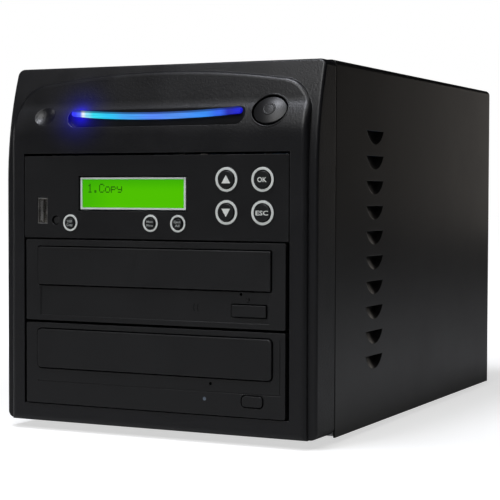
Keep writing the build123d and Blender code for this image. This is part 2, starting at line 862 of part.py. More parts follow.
def lcd_window():
    z = lcd_z
    half = lcd_width / 2 - lcd_frame_x - 0.05
    front = bay_y + lcd_recess + window_recess
    return block((lcd_x - half, lcd_x + half), (front, front + window_thickness),
                 (z - lcd_height / 2 + lcd_frame_z + 0.05, z + lcd_height / 2 - lcd_frame_z - 0.05))


def key_ring(x, z, ring):
    tube = rod_y(x, z, (bay_y - ring_rise, bay_y + ring_seat), ring)
    rim = tube.edges().sort_by(Axis.Y)[0]
    tube = fillet(rim, 0.3)
    return tube - rod_y(x, z, (bay_y - 2, bay_y + ring_seat + 1), key_hole(ring))


def key_cap(x, z, ring):
    """Round key: domed cap, hidden flange and a stem that enters its switch."""
    cap_radius = key_hole(ring) - key_gap
    cap = rod_y(x, z, (bay_y - key_rise, bay_y + panel_thickness + 0.3), cap_radius)
    cap = fillet(cap.edges().sort_by(Axis.Y)[0], 0.35)
    flange_y = bay_y + panel_thickness + 0.1
    cap += rod_y(x, z, (flange_y, flange_y + 1.0), cap_radius + key_gap + key_flange)
    stem_end = bay_y + front_board_y - tact_height + 1.0
    return cap + rod_y(x, z, (flange_y, stem_end), tact_bore - 0.3)


def tact_switch(x, z):
    y = (bay_y + front_board_y - tact_height, bay_y + front_board_y)
    half = tact_size / 2
    body = block((x - half, x + half), y, (z - half, z + half))
    return body - rod_y(x, z, (y[0] - 1, y[0] + 1.0 + key_travel + 0.4), tact_bore)


def usb_port():
    """Upright USB A receptacle: shell, back wall and tongue."""
    z = usb_z
    w = usb_width / 2
    h = usb_height / 2
    y = (bay_y + 0.1, bay_y + front_board_y)
    body = block((usb_x - w, usb_x + w), y, (z - h, z + h))
    body -= block((usb_x - w + usb_shell, usb_x + w - usb_shell), (y[0] - 1, y[0] + usb_mouth_depth),
                  (z - h + usb_shell, z + h - usb_shell))
    body += block((usb_x - w + usb_shell + 0.3, usb_x - w + usb_shell + 2.1),
                  (y[0] + 0.8, y[0] + usb_mouth_depth), (z - h + 1.4, z + h - 1.4))
    return body


def status_led():
    z = led_z
    lens = rod_y(led_x, z, (bay_y + 0.7, bay_y + front_board_y), status_radius)
    return fillet(lens.edges().sort_by(Axis.Y)[0], 0.9)


def panel_bracket():
    """Steel bracket that carries the panel in its bay: floor and two wings."""
    y = (bay_y + panel_depth, bay_y + panel_depth + bracket_depth)
    half = drive_width / 2
    z = (panel_bottom + 0.6, panel_bottom + 0.6 + sheet)
    bracket = block((-half, half), y, z)
    for side in (-1, 1):
        wing = sorted((side * (half - sheet), side * half))
        bracket += block(wing, (y[0], y[0] + bracket_depth * 0.8), (z[0], panel_top - 2))
        bracket -= rod_x(*panel_screw_place, (side * half - 3, side * half + 3), screw_shank + thread_gap)
    for x in (-controller_width / 2 + 6, controller_width / 2 - 6):
        for y_post in (y[0] + 14, y[0] + controller_depth):
            bracket += rod_z(x, y_post, (z[1], z[1] + 5), 3)
    return bracket


def controller_board():
    """Main board on the bracket's posts, with its chips, capacitors and drive sockets."""
    y = (bay_y + panel_depth + 8, bay_y + panel_depth + 8 + controller_depth)
    z0 = panel_bottom + 0.6 + sheet + 5
    half = controller_width / 2
    z = (z0, z0 + board_thickness)
    board = block((-half, half), y, z)
    chips = [(-14, 12, 28, 28, 2.2), (28, 6, 14, 20, 1.6), (-46, 18, 12, 18, 1.6), (30, 36, 22, 9, 1.4)]
    for x, back, width, depth, height in chips:
        board += block((x, x + width), (y[0] + back, y[0] + back + depth), (z[1], z[1] + height))
    for step in range(3):
        board += block((-30 + step * 20, -20 + step * 20), (y[1] - 14, y[1] - 6), (z[1], z[1] + 9))
    for x in (-52, -42, 52):
        board += rod_z(x, y[1] - 20, (z[1], z[1] + 11), 4)
    return board


save("panel_fascia", panel_fascia())
save("lcd_module", lcd_module())
save("lcd_window", lcd_window())
save("key_rings", *[key_ring(x, z, ring) for name, x, z, ring in key_places()])
for key_name, key_x, key_z, key_radius in key_places():
    save(key_name, key_cap(key_x, key_z, key_radius))
save("key_switches", *[tact_switch(x, z) for name, x, z, ring in key_places()])
save("usb_port", usb_port())
save("status_led", status_led())
save("panel_bracket", panel_bracket())
save("controller_board", controller_board())


# ---------------------------------------------------------------- disc drives

def door_face(number):
    """Width, lower edge, upper edge and corner radius of a drive's tray door."""
    side, above, height, radius = drive_faces[number]["door"]
    high = drive_height - above
    return drive_width - 2 * side, high - height, high, radius


def drive_fascia(number, z0):
    face = drive_faces[number]
    half = drive_width / 2
    y = (bay_y - drive_proud, bay_y - drive_proud + drive_fascia_depth)
    plate_back = y[0] + drive_fascia_plate
    body = prism_y(rounded_window((-half, half), (z0, z0 + drive_height), 0.8), y)
    body -= block((-half + drive_rim, half - drive_rim), (plate_back, y[1] + 1),
                  (z0 + drive_rim, z0 + drive_height - drive_rim))
    width, low, high, radius = door_face(number)
    through = (y[0] - 1, plate_back + 1)
    if number == 1:
        body -= block((-width / 2 + 1, width / 2 - 1), (y[0] - 1, y[0] + drive_inset),
                      (z0 + inset_margin, z0 + low))
    else:
        cut = (y[0] - 1, y[0] + crease_depth)
        groove = (z0 + crease_height - crease_width, z0 + crease_height)
        right = half - crease_inset
        body -= block((-width / 2, right), cut, groove)
        body -= block((right - crease_width, right), cut, (groove[0], z0 + high))
    body -= prism_y(rounded_window((-width / 2 - door_gap, width / 2 + door_gap),
                                   (z0 + low - door_gap, z0 + high + door_gap), radius + door_gap),
                    through)
    inset, z, w, h, r = face["button"]
    x = half - inset
    body -= prism_y(rounded_window((x - w / 2, x + w / 2), (z0 + z - h / 2, z0 + z + h / 2), r), through)
    inset, z = face["pinhole"]
    body -= rod_y(half - inset, z0 + z, through, pinhole_radius)
    inset, z = face["light"]
    body -= rod_y(half - inset, z0 + z, through, light_radius + 0.1)
    return body


def drive_door(number, z0):
    width, low, high, radius = door_face(number)
    door = prism_y(rounded_window((-width / 2, width / 2), (z0 + low, z0 + high), radius),
                   (bay_y - drive_proud - door_proud, bay_y + door_back))
    front = door.faces().sort_by(Axis.Y)[0]
    return fillet(front.edges(), 0.45)


def drive_button(number, z0):
    inset, z, w, h, r = drive_faces[number]["button"]
    x = drive_width / 2 - inset
    z += z0
    face_y = bay_y - drive_proud
    w -= 2 * button_gap
    h -= 2 * button_gap
    cap = prism_y(rounded_window((x - w / 2, x + w / 2), (z - h / 2, z + h / 2), r - button_gap),
                  (face_y - button_rise, face_y + drive_fascia_plate + 0.3))
    cap = fillet(cap.faces().sort_by(Axis.Y)[0].edges(), 0.2)
    back = face_y + drive_fascia_plate + 0.2
    half_w = w / 2 + button_gap + button_shoulder
    half_h = h / 2 + button_gap + button_shoulder
    return cap + block((x - half_w, x + half_w), (back, back + button_flange),
                       (z - half_h, z + half_h))


def drive_light(number, z0):
    inset, z = drive_faces[number]["light"]
    return rod_y(drive_width / 2 - inset, z0 + z, (bay_y - drive_proud + 0.1, bay_y + 6), light_radius)


casing_front = bay_y - drive_proud + drive_fascia_depth
casing_back = bay_y + drive_depth


def drive_casing(z0):
    """Steel box of the drive, open at the front, with its sockets' window at the rear."""
    half = drive_width / 2
    box = block((-half, half), (casing_front, casing_back), (z0, z0 + drive_height))
    box -= block((-half + casing_wall, half - casing_wall), (casing_front - 1, casing_back - casing_wall),
                 (z0 + casing_wall, z0 + drive_height - casing_wall))
    box -= block((-8, 42), (casing_back - casing_wall - 1, casing_back + 1), (z0 + 4, z0 + 12))
    for depth in drive_screw_depths:
        for side in (-1, 1):
            box -= rod_x(bay_y + depth, z0 + drive_screw_lift, (side * half - 2, side * half + 2),
                         screw_shank + thread_gap)
    return box


tray_bottom = tray_top - tray_thickness
tongue_bottom = tray_bottom
tongue_top = tray_bottom + tray_tongue_height


def eject_switch(number, z0):
    """Post in the drive that stops the eject button at the end of its travel."""
    inset, z = drive_faces[number]["button"][:2]
    x = drive_width / 2 - inset
    front = bay_y - drive_proud + drive_fascia_plate + button_flange + 0.3 + button_travel
    return block((x - 3, x + 3), (front, casing_front + 4), (z0 + drive_rim + 0.3, z0 + z + 2))


def drive_loader(number, z0):
    """Plastic frame in the drive: floor, tray rails, pickup guides, motor and gear posts."""
    z = z0 + casing_wall
    inner = drive_width / 2 - casing_wall - 0.3
    y = (casing_front + 1, casing_back - 8)
    frame = block((-inner, inner), y, (z, z + loader_floor))
    well = (bay_y + disc_y - 20, bay_y + well_end)
    frame -= block((-well_half, well_half), well, (z - 1, z + loader_floor + 1))
    for side in (-1, 1):
        x = sorted((side * rail_inner, side * inner))
        rail = block(x, y, (z, z0 + tongue_top + tray_play + 2))
        groove_x = sorted((side * (rail_inner - 1), side * (tray_half_width + tray_tongue + tray_play)))
        rail -= block(groove_x, (y[0] - 1, y[1] + 1),
                      (z0 + tongue_bottom - tray_play, z0 + tongue_top + tray_play))
        frame += rail
        frame += rod_y(side * guide_x, z0 + guide_height, (well[0] - 3, well[1] + 3), guide_radius)
        for end in (well[0] - 6, well[1]):
            frame += block((side * guide_x - 3, side * guide_x + 3), (end, end + 6),
                           (z, z0 + guide_height + 3))
    frame += block((-well_half, well_half),
                   (bay_y + disc_y - motor_radius, bay_y + disc_y + motor_radius), (z, z + platform_thickness))
    frame += rod_z(0, bay_y + disc_y, (z, z0 + turntable_height - 6), motor_radius)
    frame -= rod_z(0, bay_y + disc_y, (z + 2, z0 + turntable_height), gear_pin + running_gap)
    gear_x = rack_x - gear_module * gear_teeth / 2
    gear_z = z0 + tray_bottom - 0.3 - gear_height
    frame += rod_z(gear_x, bay_y + gear_y, (z, gear_z), 4)
    frame += rod_z(gear_x, bay_y + gear_y, (z, gear_z + gear_height), gear_pin)
    return frame + eject_switch(number, z0)


def rack_tooth(y):
    """One trapezoid tooth, pointing to -X from the rack's bar."""
    pitch = math.pi * gear_module
    half = pitch / 4 - backlash / 2
    slope = math.tan(math.radians(pressure_angle))
    addendum = 0.9 * gear_module
    dedendum = 1.1 * gear_module
    lean = addendum * slope
    tip = rack_x - addendum
    root = rack_x + dedendum
    root_lean = dedendum * slope
    return make_face(Polyline((tip, y - half + lean), (root, y - half - root_lean),
                              (root, y + half + root_lean), (tip, y + half - lean),
                              (tip, y - half + lean)))


rack_teeth = math.ceil((tray_travel + 3) / (math.pi * gear_module))


def drive_tray(z0):
    """Disc tray: two stepped recesses, hub slot, side tongues and the rack below."""
    y = (bay_y + door_back, bay_y + door_back + tray_length)
    top = z0 + tray_top
    plate = block((-tray_half_width, tray_half_width), y, (z0 + tray_bottom, top))
    reach = tray_half_width + tray_tongue
    plate += block((-reach, reach), (y[0] + 4, y[1]), (z0 + tongue_bottom, z0 + tongue_top))
    disc = (0, bay_y + disc_y)
    plate -= rod_z(*disc, (top - disc_recess_depth, top + 1), disc_recess)
    plate -= rod_z(*disc, (top - small_disc_depth, top + 1), small_disc_recess)
    through = (z0 + tray_bottom - 1, top + 1)
    plate -= rod_z(*disc, through, tray_hole)
    plate -= block((-tray_slot_half_width, tray_slot_half_width), (disc[1], disc[1] + 66), through)
    plate -= block((-12, 12), (disc[1] - disc_recess - 8, disc[1] - disc_recess + 10), (top - 1.2, top + 1))
    bar_z = (z0 + tray_bottom - rack_drop, z0 + tray_bottom)
    first = bay_y + gear_y
    rack_y = (first - 6, first + rack_teeth * math.pi * gear_module)
    rack = block((rack_x + gear_module, rack_back), rack_y, bar_z)
    teeth = [rack_tooth(first + (step + 0.5) * math.pi * gear_module) for step in range(-1, rack_teeth)]
    rack += prism_z(Sketch() + teeth, bar_z)
    return plate + rack


def tray_gear(z0):
    """Pinion with straight-sided teeth, in mesh with the tray's rack."""
    radius = gear_module * gear_teeth / 2
    root = radius - 1.15 * gear_module
    tip = radius + 0.85 * gear_module
    half_angle = 90 / gear_teeth - math.degrees(backlash / 2 / radius)
    tip_half = half_angle * 0.42
    root_half = half_angle * 1.45
    centre = Pos(rack_x - radius, bay_y + gear_y)
    teeth = Circle(root)
    for step in range(gear_teeth):
        angle = 360 * step / gear_teeth
        points = [(root - 0.3, angle - root_half), (radius, angle - half_angle), (tip, angle - tip_half),
                  (tip, angle + tip_half), (radius, angle + half_angle), (root - 0.3, angle + root_half)]
        flat = [(r * math.cos(math.radians(a)), r * math.sin(math.radians(a))) for r, a in points]
        teeth += make_face(Polyline(*flat, flat[0]))
    teeth -= Circle(gear_pin + running_gap)
    top = z0 + tray_bottom - 0.3
    return prism_z(centre * teeth, (top - gear_height, top))


def turntable(z0):
    y = bay_y + disc_y
    top = z0 + turntable_height
    hub = rod_z(0, y, (top - 5.6, top - 2.4), turntable_radius)
    cone = Pos(0, y, top - 1.2) * Cone(cone_radius, cone_radius - 1.6, 2.4)
    shaft = rod_z(0, y, (z0 + casing_wall + 2.2, top - 5), gear_pin)
    return hub + cone + shaft


def pickup(z0):
    """Laser pickup on its two guides, with the lens on top."""
    y = bay_y + disc_y + pickup_start
    span = (y - pickup_length / 2, y + pickup_length / 2)
    z = z0 + guide_height
    body = block((-guide_x - 4, guide_x + 4), span, (z - 3.2, z + 3.2))
    body += block((-16, 16), (span[0] + 1, span[1] - 1), (z + 3, z + 6.5))
    for side in (-1, 1):
        body -= rod_y(side * guide_x, z, (span[0] - 1, span[1] + 1), guide_radius + running_gap)
    return body + rod_z(0, y, (z + 6, z + 7.6), 3.4)


for drive in (1, 2):
    bottom = drive_bottoms[drive]
    save(f"drive_{drive}_fascia", drive_fascia(drive, bottom))
    save(f"drive_{drive}_door", drive_door(drive, bottom))
    save(f"drive_{drive}_eject_button", drive_button(drive, bottom))
    save(f"drive_{drive}_light", drive_light(drive, bottom))
    save(f"drive_{drive}_casing", drive_casing(bottom))
    save(f"drive_{drive}_loader", drive_loader(drive, bottom))
    save(f"drive_{drive}_tray", drive_tray(bottom))
    save(f"drive_{drive}_tray_gear", tray_gear(bottom))
    save(f"drive_{drive}_turntable", turntable(bottom))
    save(f"drive_{drive}_pickup", pickup(bottom))


# ---------------------------------------------------------------- fans


def fan_frame(x, z, back):
    """Square fan frame with its spider, motor plate and bearing tube."""
    half = fan_size / 2
    front = back - fan_depth
    body = prism_y(rounded_window((x - half, x + half), (z - half, z + half), fan_corner), (front, back))
    body -= rod_y(x, z, (front - 1, back + 1), fan_bore)
    for turn in (45, 135, 225, 315):
        arm = Rot(0, turn, 0) * block((fan_hub - 2, fan_bore + 1), (front, front + fan_arm),
                                      (-fan_arm / 2, fan_arm / 2))
        body += Pos(x, 0, z) * arm
    body += rod_y(x, z, (front, front + fan_arm), fan_hub)
    body += rod_y(x, z, (front, back - 6), bearing)
    body -= rod_y(x, z, (front + 1, back), gear_pin + running_gap)
    for place in fan_screw_places(x, z):
        body -= rod_y(*place, (front - 1, back + 1), screw_shank + thread_gap)
    return body


def fan_rotor(x, z, back):
    """Rotor: cup over the motor, shaft and pitched blades."""
    front = back - fan_depth + 4
    rear = back - 2.5
    cup = rod_y(0, 0, (front, rear), fan_hub) - rod_y(0, 0, (front - 1, rear - 1.8), fan_hub - 1.6)
    cup += rod_y(0, 0, (front - 2, rear), gear_pin)
    tip = fan_bore - fan_tip_gap
    middle = (front + rear) / 2
    ring = rod_y(0, 0, (front, rear), tip) - rod_y(0, 0, (front, rear), fan_hub - 0.8)
    blades = []
    for step in range(fan_blades):
        flat = Pos((tip + fan_hub) / 2, 0, 0) * Rot(blade_pitch, 0, 0) * Box(
            tip - fan_hub + 6, blade_thickness, blade_chord)
        blades.append(Pos(0, middle, 0) * Rot(0, 360 * step / fan_blades, 0) * flat & ring)
    return Pos(x, 0, z) * (cup + blades)


def fan_guard(x, z, back):
    """Steel finger guard: rings on two crossed bars that end in eyelets."""
    guard = Sketch()
    step = (fan_bore - 3) / guard_rings
    for number in range(1, guard_rings + 1):
        outer = step * number + guard_wire / 2
        guard += Circle(outer) - Circle(outer - guard_wire)
    reach = fan_screw_offset * math.sqrt(2)
    for turn in (45, 135):
        guard += Rot(0, 0, turn) * Rectangle(2 * reach, guard_wire)
    for place in fan_screw_places(0, 0):
        guard += Pos(*place) * Circle(guard_eyelet)
    for place in fan_screw_places(0, 0):
        guard -= Pos(*place) * Circle(screw_hole)
    return prism_y(Pos(x, z) * guard, (back, back + guard_wire))


save("case_fan_frame", fan_frame(0, case_fan_z, panel_front))
save("case_fan_rotor", fan_rotor(0, case_fan_z, panel_front))
save("case_fan_guard", fan_guard(0, case_fan_z, panel_rear))
save("psu_fan_frame", fan_frame(psu_fan_x, psu_fan_z, psu_rear - sheet))
save("psu_fan_rotor", fan_rotor(psu_fan_x, psu_fan_z, psu_rear - sheet))
save("psu_fan_guard", fan_guard(psu_fan_x, psu_fan_z, psu_rear))


# ---------------------------------------------------------------- power supply

inlet_z = psu_bottom + inlet_rise
rocker_z = psu_bottom + rocker_rise
rocker_hole_half_width = rocker_width / 2 + rocker_gap + rocker_wall
rocker_hole_half_length = rocker_length / 2 + rocker_gap + rocker_wall


def inlet_outline(grow):
    """The mains inlet's outline: a rectangle with two clipped upper corners."""
    half = inlet_width / 2 + grow
    tall = inlet_height / 2 + grow
    face = Rectangle(2 * half, 2 * tall)
    return Pos(inlet_x, inlet_z) * chamfer(face.vertices().sort_by(Axis.Y)[-2:], inlet_corner)


def psu_case():
    half = psu_width / 2
    y = (psu_rear - psu_depth, psu_rear)
    case = block((-half, half), y, (psu_bottom, psu_top))
    case -= block((-half + sheet, half - sheet), (y[0] + sheet, y[1] - sheet),
                  (psu_bottom + sheet, psu_top - sheet))
    rear = (y[1] - sheet - 1, y[1] + 1)
    case -= rod_y(psu_fan_x, psu_fan_z, rear, fan_bore)
    case -= prism_y(inlet_outline(inlet_wall), rear)
    case -= prism_y(window((inlet_x - rocker_hole_half_width, inlet_x + rocker_hole_half_width),
                           (rocker_z - rocker_hole_half_length, rocker_z + rocker_hole_half_length)), rear)
    for x, z in fan_screw_places(psu_fan_x, psu_fan_z):
        case -= rod_y(x, z, rear, screw_hole)
    for x, z in psu_screw_places:
        case -= rod_y(x, z, rear, screw_shank + thread_gap)
    for step in range(psu_vents):
        vent = Pos((step - (psu_vents - 1) / 2) * psu_vent_pitch, psu_fan_z) * SlotOverall(50, 5, 90)
        case -= prism_y(vent, (y[0] - 1, y[0] + sheet + 1))
    return case


def power_inlet():
    """C14 inlet: flange, body, shaped cavity and three blades."""
    wall = inlet_outline(inlet_wall - 0.1)
    flange_half = inlet_width / 2 + inlet_flange
    flange_tall = inlet_height / 2 + inlet_flange
    flange = rounded_window((inlet_x - flange_half, inlet_x + flange_half),
                            (inlet_z - flange_tall, inlet_z + flange_tall), 2)
    face = psu_rear + inlet_flange_thickness
    body = prism_y(wall, (face - inlet_depth - 2.5, face))
    body += prism_y(flange, (psu_rear, face))
    body -= prism_y(inlet_outline(0), (face - inlet_depth, face + 1))
    for x, z in ((-7, -2.0), (0, 2.0), (7, -2.0)):
        body += block((inlet_x + x - pin_width / 2, inlet_x + x + pin_width / 2),
                      (face - inlet_depth - 1, face - inlet_depth + pin_length),
                      (inlet_z + z - pin_height / 2, inlet_z + z + pin_height / 2))
    return body


rocker_y = psu_rear - 0.6


def rocker_housing():
    w = rocker_hole_half_width - 0.1
    h = rocker_hole_half_length - 0.1
    y = (psu_rear - 11, psu_rear + 1.6)
    body = block((inlet_x - w, inlet_x + w), y, (rocker_z - h, rocker_z + h))
    body += prism_y(rounded_window((inlet_x - w - 1.4, inlet_x + w + 1.4),
                                   (rocker_z - h - 1.4, rocker_z + h + 1.4), 1), (psu_rear, y[1]))
    w = rocker_width / 2 + rocker_gap
    h = rocker_length / 2 + rocker_gap
    body -= block((inlet_x - w, inlet_x + w), (y[0] + 2, y[1] + 1), (rocker_z - h, rocker_z + h))
    pivot = rocker_width / 2 + rocker_gap + rocker_wall / 2
    return body - rod_x(rocker_y, rocker_z, (inlet_x - pivot, inlet_x + pivot), rocker_pin + running_gap)


def rocker_switch():
    """Rocker resting with its upper end pressed, on two pivot stubs."""
    half = rocker_length / 2
    side = Polyline((-4, -half * 0.62), (2.3, -half), (3.0, 0), (2.3, half), (-4, half * 0.62),
                    (-4, -half * 0.62))
    body = prism_x(make_face(side), (-rocker_width / 2, rocker_width / 2))
    pivot = rocker_width / 2 + rocker_gap + rocker_wall / 2 - 0.1
    body += rod_x(0, 0, (-pivot, pivot), rocker_pin)
    return Pos(inlet_x, rocker_y, rocker_z) * Rot(rocker_tilt, 0, 0) * body


save("psu_case", psu_case())
save("power_inlet", power_inlet())
save("rocker_housing", rocker_housing())
save("rocker_switch", rocker_switch())


# ---------------------------------------------------------------- fasteners

side_grip = sheet + cage_gap + casing_wall + 0.1


def machine_screws():
    screws = []
    for side, aim in ((-1, aim_left), (1, aim_right)):
        for y, z in drive_screw_places + [panel_screw_place]:
            screws.append(machine_screw(side * (cage_x + sheet), y, z, aim, side_grip))
    for x, z in psu_screw_places:
        screws.append(machine_screw(x, panel_rear, z, aim_back, psu_screw_length))
    for x, z in fan_screw_places(0, case_fan_z):
        screws.append(machine_screw(x, panel_rear + guard_wire, z, aim_back, fan_screw_length))
    for x, z in fan_screw_places(psu_fan_x, psu_fan_z):
        screws.append(machine_screw(x, psu_rear + guard_wire, z, aim_back, fan_screw_length))
    return screws


save("machine_screws", *machine_screws())
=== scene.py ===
import bpy
import math
import numpy as np
from mathutils import Matrix, Vector


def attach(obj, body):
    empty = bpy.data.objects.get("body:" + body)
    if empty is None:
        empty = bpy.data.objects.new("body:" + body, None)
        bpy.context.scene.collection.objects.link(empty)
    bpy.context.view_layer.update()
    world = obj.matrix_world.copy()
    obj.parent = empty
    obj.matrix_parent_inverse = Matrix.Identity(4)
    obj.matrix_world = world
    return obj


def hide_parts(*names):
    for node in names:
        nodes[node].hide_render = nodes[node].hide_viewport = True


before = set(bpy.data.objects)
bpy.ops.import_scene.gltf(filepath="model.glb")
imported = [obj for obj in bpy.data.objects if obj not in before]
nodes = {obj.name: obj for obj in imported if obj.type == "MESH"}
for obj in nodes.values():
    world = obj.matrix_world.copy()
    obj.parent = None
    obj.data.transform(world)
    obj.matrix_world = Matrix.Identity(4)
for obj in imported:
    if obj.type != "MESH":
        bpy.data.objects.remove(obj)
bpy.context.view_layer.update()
mm = 0.001
print("frame loaded:", len(nodes), "nodes")


# places that many pieces share, in millimetres

bay = {"front": -141.25}
rear = {"panel": 136.75, "psu": 135.55, "cover": 137.75}


# mesh helpers

def newPiece(name, points, faces, material, body, smooth=True, crease=None):
    # mesh from an (n, 3) array in millimetres and a list of faces
    mesh = bpy.data.meshes.new(name)
    mesh.from_pydata((np.asarray(points, float) * mm).tolist(), [], [list(map(int, f)) for f in faces])
    mesh.validate()
    mesh.polygons.foreach_set("use_smooth", np.full(len(mesh.polygons), smooth))
    if crease:
        mesh.set_sharp_from_angle(angle=math.radians(crease))
    mesh.materials.append(material)
    piece = bpy.data.objects.new(name, mesh)
    bpy.context.scene.collection.objects.link(piece)
    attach(piece, body)
    return piece


def gridFaces(rows, columns, closeRows=False, closeColumns=False):
    # quads of a rows x columns grid of points, numbered row by row
    r = np.arange(rows if closeRows else rows - 1)
    c = np.arange(columns if closeColumns else columns - 1)
    rr, cc = np.meshgrid(r, c, indexing="ij")
    r2, c2 = (rr + 1) % rows, (cc + 1) % columns
    quads = np.stack([rr * columns + cc, rr * columns + c2, r2 * columns + c2, r2 * columns + cc], -1)
    return quads.reshape(-1, 4)


def joined(parts):
    # several (points, faces) pairs as one
    points, faces, count = [], [], 0
    for p, f in parts:
        points.append(np.asarray(p, float).reshape(-1, 3))
        faces += [[int(i) + count for i in face] for face in f]
        count += len(points[-1])
    return np.concatenate(points), faces


def turned(profile, steps, reshape=None):
    # closed profile of (radius, height), from the axis at the top outwards and back to the axis,
    # turned about +Z; reshape(radius, height, angle) may dent or wave the rows between the poles
    profile = np.asarray(profile, float)
    angle = np.linspace(0, 2 * np.pi, steps, endpoint=False)[None, :]
    radius = profile[1:-1, :1] + 0 * angle
    height = profile[1:-1, 1:] + 0 * angle
    top, bottom = profile[0, 1], profile[-1, 1]
    if reshape:
        radius, height = reshape(radius, height, angle)
        top = reshape(np.zeros((1, 1)), np.full((1, 1), top), np.zeros((1, 1)))[1][0, 0]
    rows = len(profile) - 2
    skin = np.stack([radius * np.cos(angle), radius * np.sin(angle), height], -1).reshape(-1, 3)
    points = np.concatenate([skin, [(0, 0, top), (0, 0, bottom)]])
    here = np.arange(steps)
    after = (here + 1) % steps
    pole = rows * steps
    last = pole - steps
    faces = gridFaces(rows, steps, closeColumns=True)[:, ::-1].tolist()
    faces += np.stack([np.full(steps, pole), here, after], 1).tolist()
    faces += np.stack([np.full(steps, pole + 1), last + after, last + here], 1).tolist()
    return points, faces


def wire(path, radius, sides, closed=False):
    # round wire: a circle carried along a path that lies about square to Z
    path = np.asarray(path, float)
    tangent = np.roll(path, -1, 0) - np.roll(path, 1, 0) if closed else np.gradient(path, axis=0)
    tangent /= np.linalg.norm(tangent, axis=1, keepdims=True)
    side = np.cross(tangent, [0.0, 0.0, 1.0])
    side /= np.linalg.norm(side, axis=1, keepdims=True)
    up = np.cross(side, tangent)
    turn = np.linspace(0, 2 * np.pi, sides, endpoint=False)[None, :, None]
    ring = path[:, None, :] + radius * (np.cos(turn) * side[:, None, :] + np.sin(turn) * up[:, None, :])
    faces = gridFaces(len(path), sides, closeRows=closed, closeColumns=True)[:, ::-1].tolist()
    if not closed:
        last = (len(path) - 1) * sides
        faces += [list(range(sides)), [last + k for k in range(sides)][::-1]]
    return ring.reshape(-1, 3), faces


def aimed(piece, place, turn):
    # (points, faces) with its local axes turned, then moved to its place
    points, faces = piece
    return np.asarray(points, float) @ turn.T + np.asarray(place, float), faces


towardsRear = np.array([[1, 0, 0], [0, 0, 1], [0, -1, 0]], float)
towardsFront = np.array([[1, 0, 0], [0, 0, -1], [0, 1, 0]], float)
towardsRight = np.array([[0, 0, 1], [0, 1, 0], [-1, 0, 0]], float)
towardsLeft = np.array([[0, 0, -1], [0, 1, 0], [1, 0, 0]], float)


# shader helpers, and node groups that several materials share

def group(name, inputs, outputs):
    # an empty node group with its sockets, and its two end nodes
    tree = bpy.data.node_groups.new(name, "ShaderNodeTree")
    for label, kind, value in inputs:
        socket = tree.interface.new_socket(label, in_out="INPUT", socket_type=kind)
        socket.default_value = value
    for label, kind in outputs:
        tree.interface.new_socket(label, in_out="OUTPUT", socket_type=kind)
    return tree, tree.nodes.new("NodeGroupInput"), tree.nodes.new("NodeGroupOutput")


def node(tree, kind, links=None, **values):
    # a new node: values set its properties or sockets by name, links join its inputs
    n = tree.nodes.new("ShaderNode" + kind)
    for key, value in values.items():
        if hasattr(n, key) and key not in n.inputs:
            setattr(n, key, value)
        else:
            n.inputs[key].default_value = value
    for key, source in (links or {}).items():
        tree.links.new(source, n.inputs[key])
    return n


def feed(tree, sockets, sources):
    # each source is a number, a colour of three, or an output to link
    for key, source in sources.items():
        if isinstance(source, (int, float)):
            sockets[key].default_value = source
        elif isinstance(source, tuple):
            sockets[key].default_value = (*source, 1)
        else:
            tree.links.new(source, sockets[key])


def maths(tree, operation, a, b=None, clamp=False):
    n = tree.nodes.new("ShaderNodeMath")
    n.operation, n.use_clamp = operation, clamp
    feed(tree, n.inputs, {0: a} if b is None else {0: a, 1: b})
    return n.outputs[0]


def ranged(tree, value, source, target, smooth=False):
    # value taken from the source range to the target range and held at its ends
    n = node(tree, "MapRange", {"Value": value}, **{
        "From Min": source[0], "From Max": source[1], "To Min": target[0], "To Max": target[1]})
    if smooth:
        n.interpolation_type = "SMOOTHSTEP"
    return n.outputs["Result"]


def mixed(tree, factor, a, b, blend="MIX"):
    n = node(tree, "Mix", data_type="RGBA", blend_type=blend)
    feed(tree, n.inputs, {"Factor": factor, "A": a, "B": b})
    return n.outputs["Result"]


def objectPlace(tree):
    return node(tree, "TexCoord").outputs["Object"]


def objectAxes(tree):
    return node(tree, "SeparateXYZ", {"Vector": objectPlace(tree)}).outputs


def makeGrain():
    # moulded or sprayed grain: fine noise over a slower one, as a height and a mask
    tree, gin, gout = group("surfaceGrain",
                            [("Fine", "NodeSocketFloat", 1500.0), ("Coarse", "NodeSocketFloat", 90.0)],
                            [("Height", "NodeSocketFloat"), ("Patches", "NodeSocketFloat")])
    where = objectPlace(tree)
    fine = node(tree, "TexNoise", {"Vector": where, "Scale": gin.outputs["Fine"]}, Detail=3.0, Roughness=0.6)
    coarse = node(tree, "TexNoise", {"Vector": where, "Scale": gin.outputs["Coarse"]}, Detail=4.0,
                  Roughness=0.55)
    tree.links.new(fine.outputs["Fac"], gout.inputs["Height"])
    tree.links.new(coarse.outputs["Fac"], gout.inputs["Patches"])
    return tree


def makeEdges():
    # edge mask for worn edges and painted edge highlights: 1 where the rounded normal leaves the face's own,
    # and that rounded normal
    tree, gin, gout = group("softEdges",
                            [("Radius", "NodeSocketFloat", 0.0004), ("Sharpness", "NodeSocketFloat", 4.0)],
                            [("Edge", "NodeSocketFloat"), ("Normal", "NodeSocketVector")])
    bevel = node(tree, "Bevel", {"Radius": gin.outputs["Radius"]}, samples=6)
    flat = node(tree, "NewGeometry")
    dot = node(tree, "VectorMath", {0: bevel.outputs["Normal"], 1: flat.outputs["Normal"]},
               operation="DOT_PRODUCT")
    away = maths(tree, "SUBTRACT", 1.0, dot.outputs["Value"])
    edge = maths(tree, "MULTIPLY", away, gin.outputs["Sharpness"], clamp=True)
    tree.links.new(edge, gout.inputs["Edge"])
    tree.links.new(bevel.outputs["Normal"], gout.inputs["Normal"])
    return tree


